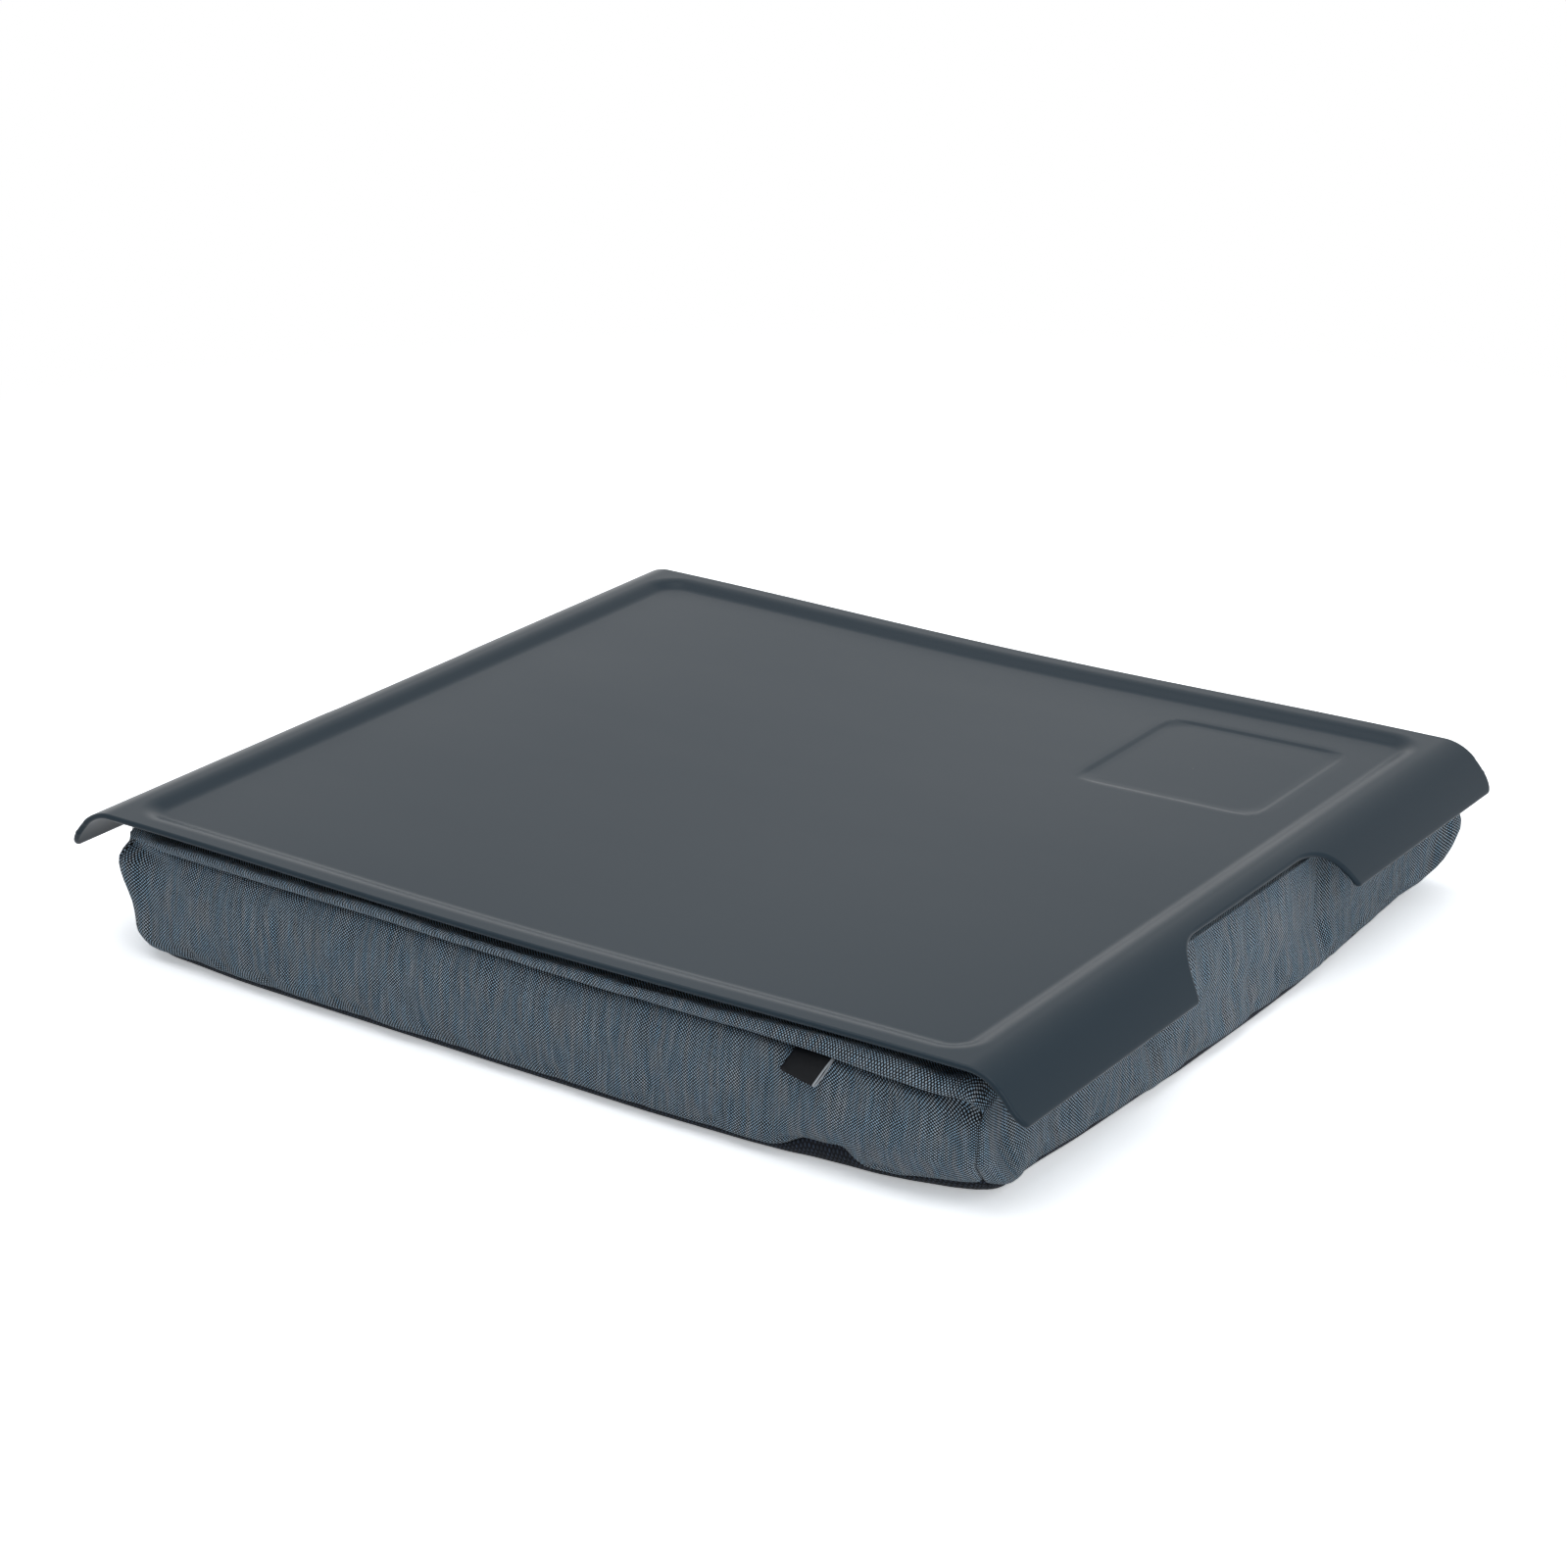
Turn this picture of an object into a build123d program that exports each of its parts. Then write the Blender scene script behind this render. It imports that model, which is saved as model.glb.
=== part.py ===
from build123d import *
from math import cos, radians, sin
import os

os.makedirs("parts", exist_ok=True)

# Frame: millimetres, +Z up, +X to the right grip, -Y to the front.
# The origin is on the resting plane, below the middle of the tray.

# Whole tray, from tip to tip of the grips, across the rim and up to the rim's top
tray_length = 460.0
tray_width = 385.0
tray_height = 65.0
sheet_thickness = 2.5
tray_corner_radius = 5.0

# Grip curls at both ends: a tight arc, then a flatter lip, turns in degrees
curl_radius = 20.0
curl_turn = 46.0
lip_radius = 70.0
lip_turn = 12.0

# Sunk floor inside the rim, with a soft ramp around it
floor_drop = 3.8
rim_width = 13.2
end_rim_set_in = 32.6
ramp_slope = 20.0
floor_corner_radius = 12.0
ramp_top_radius = 15.0
ramp_foot_radius = 25.0

# Shallow square recess in the far right corner of the floor
recess_side = 84.0
recess_depth = 0.8
recess_corner_radius = 10.0
recess_gap_x = 20.0
recess_gap_y = 22.0
recess_wall_slope = 45.0

# Finger notch in each grip: straight root, round flanks, rounded mouth
notch_depth = 15.4
notch_root_length = 82.0
notch_flank_radius = 27.0
notch_flank_turn = 60.0
notch_mouth_radius = 3.0
notch_mouth_run = 12.0

# Cushion, seen from above: how far it stays inside the tray's outline
cushion_set_in_x = 20.5
cushion_set_in_y = 6.0
cushion_corner_radius = 20.0
side_bow = 3.0
side_flat_y = 150.0

# Cushion, seen from the side: seams, and how far they are drawn in
base_seam_height = 4.0
top_seam_height = 49.0
base_seam_draw = 6.5
top_seam_draw = 3.5
base_edge_draw = 8.0
crown_draw = 42.0

# Cloth and filling
fabric_thickness = 1.0
liner_thickness = 0.6
soft_clearance = 0.3
liner_side_clearance = 1.0
liner_seam_share = 0.5

# Hook and loop patches between tray and cushion
patch_length = 60.0
patch_width = 30.0
patch_corner_radius = 4.0
patch_inset_x = 85.0
patch_inset_y = 70.0
hook_thickness = 1.2
loop_thickness = 1.2
mating_clearance = 0.2

# Folded label in the front top seam, leaning out by degrees
label_width = 16.0
label_drop = 12.0
label_thickness = 0.8
label_gap = 0.2
label_from_right = 72.0
label_lean = 35.0

# Zip in the back band: coils between the stops, tapes running past them
zip_length = 220.0
coil_width = 1.8
coil_depth = 1.3
tape_width = 11.0
tape_thickness = 0.5
tape_overrun = 12.0
tape_margin = 4.0
slit_height = 8.0
slit_end_clearance = 0.5
stop_length = 2.5
stop_depth = 1.8

# Zip slider: two plates joined by a wedge that runs between the coils
slider_length = 9.0
slider_height = 8.0
slider_plate = 1.0
slider_back_height = 6.4
slider_lip = 1.0
wedge_length = 3.0
wedge_thickness = 1.0
slider_clearance = 0.3

# Loop on the slider and the pull that turns in it
bail_length = 4.2
bail_width = 1.6
bail_wall = 0.6
bail_rise = 2.2
pull_length = 17.0
pull_width = 6.0
pull_thickness = 1.0
pull_corner_radius = 1.5
pull_neck = 3.4
pull_hole_radius = 1.2
pull_hole_inset = 3.5

# One overrun for all cuts
cut_overrun = 5.0

# Values worked out from the sizes above
curl_end_angle = 90 - curl_turn
lip_end_angle = curl_end_angle - lip_turn
half_length = tray_length / 2
half_width = tray_width / 2
tip_reach = (
    (curl_radius - lip_radius) * cos(radians(curl_end_angle))
    + lip_radius * cos(radians(lip_end_angle))
    + sheet_thickness / 2 * (1 - cos(radians(lip_end_angle)))
)
crest_half = half_length - tip_reach
floor_level = tray_height - floor_drop
floor_underside = floor_level - sheet_thickness
floor_half_x = half_length - end_rim_set_in
floor_half_y = half_width - rim_width
ramp_run = floor_drop / sin(radians(ramp_slope)) * cos(radians(ramp_slope))

cushion_half_x = half_length - cushion_set_in_x
cushion_half_y = half_width - cushion_set_in_y
loop_underside = floor_underside - hook_thickness - mating_clearance - loop_thickness
crown_height = loop_underside
band_height = top_seam_height - base_seam_height
tape_length = zip_length + 2 * tape_overrun
side_flat_x = tape_length + 2 * tape_margin

liner_layer = fabric_thickness + liner_side_clearance
liner_skin = fabric_thickness + soft_clearance
filling_layer = liner_layer + liner_thickness + soft_clearance
filling_skin = liner_skin + liner_thickness + soft_clearance
liner_seam_height = base_seam_height + band_height * liner_seam_share

# Heights and draw-in of each curved stretch, as shares from its seam to its other end
band_rise_shares = (0, 0.07, 0.2, 0.8, 0.93, 1)
band_base_draw_shares = (1, 0.45, 0, 0, 0, 0)
band_top_draw_shares = (0, 0, 0, 0, 0.45, 1)
crown_rise_shares = (0, 0.35, 0.66, 0.88, 1)
crown_draw_shares = (0, 0.1, 0.3, 0.6, 1)
base_drop_shares = (0, 0.6, 1)
base_draw_shares = (0, 0.35, 1)


def cushion_section(height, draw_in, layer):
    """Plan of the cushion at one height: flat middles, bowed ends and round corners."""
    half_x = cushion_half_x - draw_in - layer
    half_y = cushion_half_y - draw_in - layer
    corner = (half_x - side_bow, half_y - side_bow)
    with BuildSketch(Plane.XY.offset(height)) as section:
        with BuildLine():
            Line((0, half_y), (side_flat_x / 2, half_y))
            TangentArc((side_flat_x / 2, half_y), corner, tangent=(1, 0))
            TangentArc((half_x, side_flat_y / 2), corner, tangent=(0, 1))
            Line((half_x, side_flat_y / 2), (half_x, 0))
            mirror(about=Plane.YZ)
            mirror(about=Plane.XZ)
        make_face()
        corners = section.vertices().sort_by_distance((0, 0, height))[-4:]
        fillet(corners, cushion_corner_radius - layer)
    return section.sketch


def band_form(layer, mode):
    """The upright stretch of the cushion, between its two seams."""
    sections = []
    for rise, base_draw, top_draw in zip(band_rise_shares, band_base_draw_shares, band_top_draw_shares):
        draw_in = base_draw * base_seam_draw + top_draw * top_seam_draw
        sections.append(cushion_section(base_seam_height + rise * band_height, draw_in, layer))
    loft(sections, ruled=True, mode=mode)


def crown_form(layer, skin, mode):
    """The crown of the cushion, from the top seam up to its flat middle."""
    rise = crown_height - skin - top_seam_height
    sections = []
    for rise_share, draw_share in zip(crown_rise_shares, crown_draw_shares):
        draw_in = top_seam_draw + draw_share * crown_draw
        sections.append(cushion_section(top_seam_height + rise_share * rise, draw_in, layer))
    loft(sections, ruled=True, mode=mode)


def base_form(layer, skin, mode):
    """The underside of the cushion, from the base seam down to where it rests."""
    drop = base_seam_height - skin
    sections = []
    for drop_share, draw_share in zip(base_drop_shares, base_draw_shares):
        draw_in = base_seam_draw + draw_share * base_edge_draw
        sections.append(cushion_section(base_seam_height - drop_share * drop, draw_in, layer))
    loft(sections, ruled=True, mode=mode)


def cushion_form(layer, skin, mode):
    """The whole cushion, drawn in by layer at its sides and by skin above and below."""
    band_form(layer, mode)
    crown_form(layer, skin, mode)
    base_form(layer, skin, mode)


# Tray: a sheet drawn in its side profile, then the floor pressed into it
curl_centre = (crest_half, tray_height - curl_radius)
lip_centre = (
    curl_centre[0] + (curl_radius - lip_radius) * cos(radians(curl_end_angle)),
    curl_centre[1] + (curl_radius - lip_radius) * sin(radians(curl_end_angle)),
)
tip_normal = (cos(radians(lip_end_angle)), sin(radians(lip_end_angle)))
tip_mid_radius = lip_radius - sheet_thickness / 2
tip_end = (
    lip_centre[0] + tip_mid_radius * tip_normal[0] + sheet_thickness / 2 * tip_normal[1],
    lip_centre[1] + tip_mid_radius * tip_normal[1] - sheet_thickness / 2 * tip_normal[0],
)
with BuildPart() as tray:
    with BuildSketch(Plane.XZ):
        with BuildLine():
            rim_top = Line((0, tray_height), (crest_half, tray_height))
            CenterArc(curl_centre, curl_radius, 90, -curl_turn)
            lip_outer = CenterArc(lip_centre, lip_radius, curl_end_angle, -lip_turn)
            lip_inner = CenterArc(lip_centre, lip_radius - sheet_thickness, lip_end_angle, lip_turn)
            CenterArc(curl_centre, curl_radius - sheet_thickness, curl_end_angle, curl_turn)
            rim_under = Line((crest_half, tray_height - sheet_thickness), (0, tray_height - sheet_thickness))
            ThreePointArc(lip_outer @ 1, tip_end, lip_inner @ 0)
            Line(rim_under @ 1, rim_top @ 0)
        make_face()
        mirror(about=Plane.YZ)
    extrude(amount=half_width, both=True)
    with BuildSketch(Plane.XY):
        RectangleRounded(tray_length, tray_width, tray_corner_radius)
    extrude(amount=tray_height, mode=Mode.INTERSECT)
    # The floor pan below the rim, then the hollow of the floor above it
    for level, mode in ((tray_height - sheet_thickness, Mode.ADD), (tray_height, Mode.SUBTRACT)):
        with BuildSketch(Plane.XY.offset(level)):
            RectangleRounded(
                2 * floor_half_x + ramp_run,
                2 * floor_half_y + ramp_run,
                floor_corner_radius + ramp_run / 2,
            )
        extrude(amount=-floor_drop, taper=90 - ramp_slope, mode=mode)
    ramp_edges = tray.edges().filter_by(
        lambda edge: abs(edge.center().X) < crest_half and abs(edge.center().Y) < half_width - rim_width / 4
    )
    fillet(ramp_edges.filter_by_position(Axis.Z, floor_level, floor_level), ramp_foot_radius)
    ramp_edges = tray.edges().filter_by(
        lambda edge: abs(edge.center().X) < crest_half and abs(edge.center().Y) < half_width - rim_width / 4
    )
    fillet(ramp_edges.filter_by_position(Axis.Z, tray_height, tray_height), ramp_top_radius)
    # Shallow square recess
    recess_x = floor_half_x - recess_gap_x - recess_side / 2
    recess_y = floor_half_y - recess_gap_y - recess_side / 2
    with BuildSketch(Plane.XY.offset(floor_level)):
        with Locations((recess_x, recess_y)):
            RectangleRounded(recess_side, recess_side, recess_corner_radius)
    extrude(amount=-recess_depth, taper=recess_wall_slope, mode=Mode.SUBTRACT)
    # Finger notches, cut straight down through both grips
    root_x = half_length - notch_depth
    with BuildSketch(Plane.XY) as notches:
        with BuildLine():
            root = Line((root_x, 0), (root_x, notch_root_length / 2))
            flank_centre = (root_x + notch_flank_radius, notch_root_length / 2)
            flank = CenterArc(flank_centre, notch_flank_radius, 180, -notch_flank_turn)
            flank_run = (half_length - (flank @ 1).X) / (flank % 1).X
            mouth = Line(flank @ 1, flank @ 1 + (flank % 1) * flank_run)
            mouth_side = Line(mouth @ 1, mouth @ 1 + Vector(0, notch_mouth_run))
            outer = Line(mouth_side @ 1, mouth_side @ 1 + Vector(cut_overrun, 0))
            back = Line(outer @ 1, (half_length + cut_overrun, 0))
            Line(back @ 1, root @ 0)
        make_face()
        mouth_corner = notches.vertices().sort_by_distance(mouth @ 1)[0]
        fillet(mouth_corner, notch_mouth_radius)
        mirror(about=Plane.XZ)
        mirror(about=Plane.YZ)
    extrude(amount=tray_height + cut_overrun, mode=Mode.SUBTRACT)
tray.part.label = "tray"
export_step(tray.part, "parts/tray.step")

# Hook patches under the tray's floor and loop patches on the cushion's crown
patch_places = {"front_left": (-1, -1), "front_right": (1, -1), "back_left": (-1, 1), "back_right": (1, 1)}
for place, (side_x, side_y) in patch_places.items():
    patch_x = side_x * (cushion_half_x - patch_inset_x)
    patch_y = side_y * (cushion_half_y - patch_inset_y)
    with BuildPart() as hook_patch:
        with BuildSketch(Plane.XY.offset(floor_underside)):
            with Locations((patch_x, patch_y)):
                RectangleRounded(patch_length, patch_width, patch_corner_radius)
        extrude(amount=-hook_thickness)
    hook_patch.part.label = "hook_patch_" + place
    export_step(hook_patch.part, "parts/hook_patch_" + place + ".step")
    with BuildPart() as loop_patch:
        with BuildSketch(Plane.XY.offset(loop_underside)):
            with Locations((patch_x, patch_y)):
                RectangleRounded(patch_length, patch_width, patch_corner_radius)
        extrude(amount=loop_thickness)
    loop_patch.part.label = "loop_patch_" + place
    export_step(loop_patch.part, "parts/loop_patch_" + place + ".step")

# Cushion cover: top panel
with BuildPart() as cover_top:
    crown_form(0, 0, Mode.ADD)
    crown_form(fabric_thickness, fabric_thickness, Mode.SUBTRACT)
cover_top.part.label = "cover_top"
export_step(cover_top.part, "parts/cover_top.step")

# Cushion cover: base panel
with BuildPart() as cover_base:
    base_form(0, 0, Mode.ADD)
    base_form(fabric_thickness, fabric_thickness, Mode.SUBTRACT)
cover_base.part.label = "cover_base"
export_step(cover_base.part, "parts/cover_base.step")

# Cushion cover: four side bands that meet at upright corner seams
zip_level = (base_seam_height + top_seam_height) / 2
slit_length = zip_length + 2 * slit_end_clearance
reach_x = cushion_half_x + cut_overrun
reach_y = cushion_half_y + cut_overrun
waist = cushion_half_x - cushion_half_y
band_wedges = {
    "front": ((-waist, 0), (-reach_x, -reach_y), (reach_x, -reach_y), (waist, 0)),
    "back": ((-waist, 0), (-reach_x, reach_y), (reach_x, reach_y), (waist, 0)),
    "left": ((-waist, 0), (-reach_x, -reach_y), (-reach_x, reach_y)),
    "right": ((waist, 0), (reach_x, -reach_y), (reach_x, reach_y)),
}
for side, wedge in band_wedges.items():
    with BuildPart() as band:
        band_form(0, Mode.ADD)
        band_form(fabric_thickness, Mode.SUBTRACT)
        with BuildSketch(Plane.XY):
            Polygon(*wedge, align=None)
        extrude(amount=tray_height, mode=Mode.INTERSECT)
        if side == "back":
            with BuildSketch(Plane.XZ.offset(-cushion_half_y - cut_overrun)):
                with Locations((0, zip_level)):
                    Rectangle(slit_length, slit_height)
            extrude(amount=fabric_thickness + 2 * cut_overrun, mode=Mode.SUBTRACT)
    band.part.label = "cover_" + side + "_band"
    export_step(band.part, "parts/cover_" + side + "_band.step")

# Label: a flat folded ribbon that hangs out of the front top seam
label_root = (
    cushion_half_x - label_from_right,
    top_seam_draw - cushion_half_y - label_gap,
    top_seam_height,
)
lean = radians(label_lean)
with BuildPart() as label:
    with BuildSketch(Plane(origin=label_root, x_dir=(1, 0, 0), z_dir=(0, -cos(lean), sin(lean)))):
        Rectangle(label_width, label_drop, align=(Align.CENTER, Align.MAX))
    extrude(amount=label_thickness)
label.part.label = "label"
export_step(label.part, "parts/label.step")

# Zip tapes, sewn on the back band above and below the slit
coil_gap = wedge_thickness / 2 + slider_clearance
tape_plane = Plane.XZ.offset(-cushion_half_y)
for side, up in (("upper", 1), ("lower", -1)):
    with BuildPart() as zip_tape:
        with BuildSketch(tape_plane):
            with Locations((0, zip_level + up * (coil_gap + tape_width / 2))):
                Rectangle(tape_length, tape_width)
        extrude(amount=-tape_thickness)
    zip_tape.part.label = "zip_tape_" + side
    export_step(zip_tape.part, "parts/zip_tape_" + side + ".step")

# Zip coils on the facing edges of the tapes
coil_plane = Plane.XZ.offset(-cushion_half_y - tape_thickness)
for side, up in (("upper", 1), ("lower", -1)):
    with BuildPart() as zip_coil:
        with BuildSketch(coil_plane):
            with Locations((0, zip_level + up * (coil_gap + coil_width / 2))):
                Rectangle(zip_length, coil_width)
        extrude(amount=-coil_depth)
        outer_edges = zip_coil.edges().filter_by(Axis.X).group_by(Axis.Y)[-1]
        fillet(outer_edges, coil_depth / 3)
    zip_coil.part.label = "zip_coil_" + side
    export_step(zip_coil.part, "parts/zip_coil_" + side + ".step")

# Two top stops at the closed end, one on each tape
stop_x = (zip_length + stop_length) / 2
with BuildPart() as zip_top_stops:
    with BuildSketch(coil_plane):
        for up in (1, -1):
            with Locations((stop_x, zip_level + up * (coil_gap + coil_width / 2))):
                Rectangle(stop_length, coil_width)
    extrude(amount=-stop_depth)
zip_top_stops.part.label = "zip_top_stops"
export_step(zip_top_stops.part, "parts/zip_top_stops.step")

# Bottom stop at the open end, across both tapes
with BuildPart() as zip_bottom_stop:
    with BuildSketch(coil_plane):
        with Locations((-stop_x, zip_level)):
            Rectangle(stop_length, 2 * (coil_gap + coil_width))
    extrude(amount=-stop_depth)
zip_bottom_stop.part.label = "zip_bottom_stop"
export_step(zip_bottom_stop.part, "parts/zip_bottom_stop.step")

# Zip slider at the closed end: back plate, wedge, front plate with lips, and its loop
slider_x = zip_length / 2 - slider_length / 2 - slider_clearance
back_plate_face = cushion_half_y - slider_clearance
front_plate_back = cushion_half_y + tape_thickness + coil_depth + slider_clearance
front_plate_face = front_plate_back + slider_plate
lip_back = cushion_half_y + tape_thickness + slider_clearance
with BuildPart() as zip_slider:
    with BuildSketch(Plane.XZ.offset(-back_plate_face)):
        with Locations((slider_x, zip_level)):
            RectangleRounded(slider_length, slider_back_height, slider_plate)
    extrude(amount=slider_plate)
    with BuildSketch(Plane.XZ.offset(-front_plate_face)):
        with Locations((slider_x, zip_level)):
            RectangleRounded(slider_length, slider_height, slider_plate)
    extrude(amount=slider_plate)
    with BuildSketch(Plane.XZ.offset(-front_plate_back)):
        with Locations((slider_x + (slider_length - wedge_length) / 2, zip_level)):
            Rectangle(wedge_length, wedge_thickness)
    extrude(amount=front_plate_back - back_plate_face)
    with BuildSketch(Plane.XZ.offset(-front_plate_back)):
        for up in (1, -1):
            with Locations((slider_x, zip_level + up * (slider_height - slider_lip) / 2)):
                Rectangle(slider_length - 2 * slider_plate, slider_lip)
    extrude(amount=front_plate_back - lip_back)
    with BuildSketch(Plane.XY.offset(zip_level)):
        with Locations((slider_x, front_plate_face)):
            Rectangle(bail_length, bail_rise, align=(Align.CENTER, Align.MIN))
            Rectangle(
                bail_length - 2 * bail_wall,
                bail_rise - bail_wall,
                align=(Align.CENTER, Align.MIN),
                mode=Mode.SUBTRACT,
            )
    extrude(amount=bail_width / 2, both=True)
zip_slider.part.label = "zip_slider"
export_step(zip_slider.part, "parts/zip_slider.step")

# Zip pull: its end bar lies in the slider's loop, its arms pass beside the loop
pull_axis_y = front_plate_face + slider_clearance + pull_thickness / 2
window_height = bail_width + 2 * slider_clearance
with BuildPart() as zip_pull:
    with BuildSketch(Plane.XZ.offset(-pull_axis_y)):
        with Locations((slider_x + pull_thickness / 2, zip_level)):
            Rectangle(pull_length, pull_width, align=(Align.MAX, Align.CENTER))
    extrude(amount=pull_thickness / 2, both=True)
    side_edges = zip_pull.edges().filter_by(Axis.Y).group_by(Axis.X)[0]
    fillet(side_edges, pull_corner_radius)
    with BuildSketch(Plane.XZ.offset(-pull_axis_y)):
        with Locations((slider_x - pull_thickness / 2, zip_level)):
            Rectangle(pull_neck, window_height, align=(Align.MAX, Align.CENTER))
        with Locations((slider_x - pull_length + pull_hole_inset, zip_level)):
            Circle(pull_hole_radius)
    extrude(amount=pull_thickness, both=True, mode=Mode.SUBTRACT)
    bar_edges = zip_pull.edges().filter_by(Axis.Z).group_by(Axis.X)[-1]
    fillet(bar_edges, pull_thickness * 0.45)
zip_pull.part.label = "zip_pull"
export_step(zip_pull.part, "parts/zip_pull.step")

# Inner bag in two halves, sewn together at mid height
for side, level, height in (
    ("lower", 0, liner_seam_height),
    ("upper", liner_seam_height, tray_height),
):
    with BuildPart() as liner:
        cushion_form(liner_layer, liner_skin, Mode.ADD)
        cushion_form(liner_layer + liner_thickness, liner_skin + liner_thickness, Mode.SUBTRACT)
        with BuildSketch(Plane.XY.offset(level)):
            Rectangle(tray_length, tray_width)
        extrude(amount=height, mode=Mode.INTERSECT)
    liner.part.label = "liner_" + side
    export_step(liner.part, "parts/liner_" + side + ".step")

# Bead filling, as one solid that fills the inner bag
with BuildPart() as bead_filling:
    cushion_form(filling_layer, filling_skin, Mode.ADD)
bead_filling.part.label = "bead_filling"
export_step(bead_filling.part, "parts/bead_filling.step")
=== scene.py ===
import math

import bpy
import numpy as np
from mathutils import Matrix, Vector


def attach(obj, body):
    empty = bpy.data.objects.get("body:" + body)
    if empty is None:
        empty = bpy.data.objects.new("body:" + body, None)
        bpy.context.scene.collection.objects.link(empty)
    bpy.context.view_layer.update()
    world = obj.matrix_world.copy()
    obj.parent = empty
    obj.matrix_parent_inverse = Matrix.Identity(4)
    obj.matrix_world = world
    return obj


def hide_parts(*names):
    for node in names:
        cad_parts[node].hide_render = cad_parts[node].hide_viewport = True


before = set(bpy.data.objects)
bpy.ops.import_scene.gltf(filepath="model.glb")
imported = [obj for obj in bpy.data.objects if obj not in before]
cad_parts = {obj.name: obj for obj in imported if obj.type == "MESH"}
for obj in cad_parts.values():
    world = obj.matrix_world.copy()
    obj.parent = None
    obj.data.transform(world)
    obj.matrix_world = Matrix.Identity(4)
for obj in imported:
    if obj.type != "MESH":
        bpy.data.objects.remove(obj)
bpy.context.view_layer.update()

# Camera: a long lens to the right of the tray and a little above it, as the photograph was taken.
azimuth, elevation, roll = (math.radians(degrees) for degrees in (34.966, 21.626, -0.364))
level_right = Vector((math.cos(azimuth), math.sin(azimuth), 0))
backward = Vector((
    math.sin(azimuth) * math.cos(elevation),
    -math.cos(azimuth) * math.cos(elevation),
    math.sin(elevation),
))
level_up = backward.cross(level_right)
camera_right = level_right * math.cos(roll) + level_up * math.sin(roll)
camera_up = level_up * math.cos(roll) - level_right * math.sin(roll)
lens = bpy.data.cameras.new("long lens")
lens.lens = 82.85
lens.sensor_width = 36.0
lens.sensor_fit = "AUTO"
lens.clip_start, lens.clip_end = 0.05, 30.0
camera = bpy.data.objects.new("camera", lens)
camera.matrix_world = Matrix((camera_right, camera_up, backward)).transposed().to_4x4()
camera.location = (0.8003, -1.1508, 0.6168)
bpy.context.scene.collection.objects.link(camera)
bpy.context.scene.camera = camera
bpy.context.scene.view_settings.view_transform = "Standard"


# Studio: white paper underfoot in a white surround, a large soft light overhead and a weaker one at right.
# What the camera and the gloss see of the surround is white; the light on the object stays plain.
# The gloss sees it brightest at the horizon, where the paper runs up behind the object.
def colour(code):
    """A shader's linear colour from an sRGB hex value."""
    parts = [int(code[k:k + 2], 16) / 255 for k in (1, 3, 5)]
    return (*(p / 12.92 if p <= 0.04045 else ((p + 0.055) / 1.055) ** 2.4 for p in parts), 1)


def node(owner, kind, inputs=None, **settings):
    """Adds one shader node: its settings, and for each input a value, or the node or output that feeds it."""
    tree = owner.node_tree
    made = tree.nodes.new("ShaderNode" + kind)
    for name, value in settings.items():
        setattr(made, name, value)
    for name, value in (inputs or {}).items():
        if isinstance(value, bpy.types.Node):
            value = value.outputs[0]
        if isinstance(value, bpy.types.NodeSocket):
            tree.links.new(value, made.inputs[name])
        else:
            made.inputs[name].default_value = value
    return made


surround = bpy.data.worlds.new("white surround")
surround.use_nodes = True
surround.node_tree.nodes.clear()
ray = node(surround, "LightPath")
gloss_or_glass = node(surround, "Math", {
    0: ray.outputs["Is Glossy Ray"], 1: ray.outputs["Is Transmission Ray"],
}, operation="MAXIMUM")
direction = node(surround, "TexCoord")
height = node(surround, "SeparateXYZ", {0: direction.outputs["Generated"]})
dimming = node(surround, "MapRange", {
    "Value": height.outputs[2], "From Min": 0.04, "From Max": 0.34, "To Min": 1.16, "To Max": 0.87,
})
lighting = node(surround, "Background", {"Color": colour("#EEF3FA"), "Strength": 0.35})
mirrored = node(surround, "Background", {"Color": (1, 1, 1, 1), "Strength": dimming})
white = node(surround, "Background", {"Color": (1, 1, 1, 1), "Strength": 1.0})
choice = node(surround, "MixShader", {
    0: gloss_or_glass, 1: lighting, 2: mirrored,
})
choice = node(surround, "MixShader", {
    0: ray.outputs["Is Camera Ray"], 1: choice, 2: white,
})
node(surround, "OutputWorld", {"Surface": choice})
bpy.context.scene.world = surround

for name, place, aim, size, watts in (
    ("softbox overhead", (0.0, -0.15, 1.9), (0, 0, 0), 2.4, 21.0),
    ("softbox at the right", (1.55, -0.5, 0.85), (0, 0, 0.03), 1.2, 6.8),
):
    lamp = bpy.data.lights.new(name, "AREA")
    lamp.size = size
    lamp.energy = watts
    softbox = bpy.data.objects.new(name, lamp)
    softbox.location = place
    softbox.rotation_euler = (Vector(place) - Vector(aim)).to_track_quat("Z", "Y").to_euler()
    bpy.context.scene.collection.objects.link(softbox)

paper = bpy.data.materials.new("white backdrop paper")
paper.use_nodes = True
paper.node_tree.nodes.clear()
ray = node(paper, "LightPath")
gloss_or_glass = node(paper, "Math", {
    0: ray.outputs["Is Glossy Ray"], 1: ray.outputs["Is Transmission Ray"],
}, operation="MAXIMUM")
matt_white = node(paper, "BsdfDiffuse", {"Color": (0.88, 0.885, 0.89, 1)})
shone_through = node(paper, "BsdfDiffuse", {"Color": (0.78, 0.78, 0.78, 1)})
glow = node(paper, "Emission", {"Color": (0.96, 0.985, 1, 1), "Strength": 0.32})
mirrored = node(paper, "AddShader", {0: matt_white, 1: glow})
bright = node(paper, "AddShader", {0: mirrored, 1: shone_through})
near_paper = node(paper, "MixShader", {
    0: gloss_or_glass, 1: matt_white, 2: mirrored,
})
near_paper = node(paper, "MixShader", {
    0: ray.outputs["Is Camera Ray"], 1: near_paper, 2: bright,
})
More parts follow.
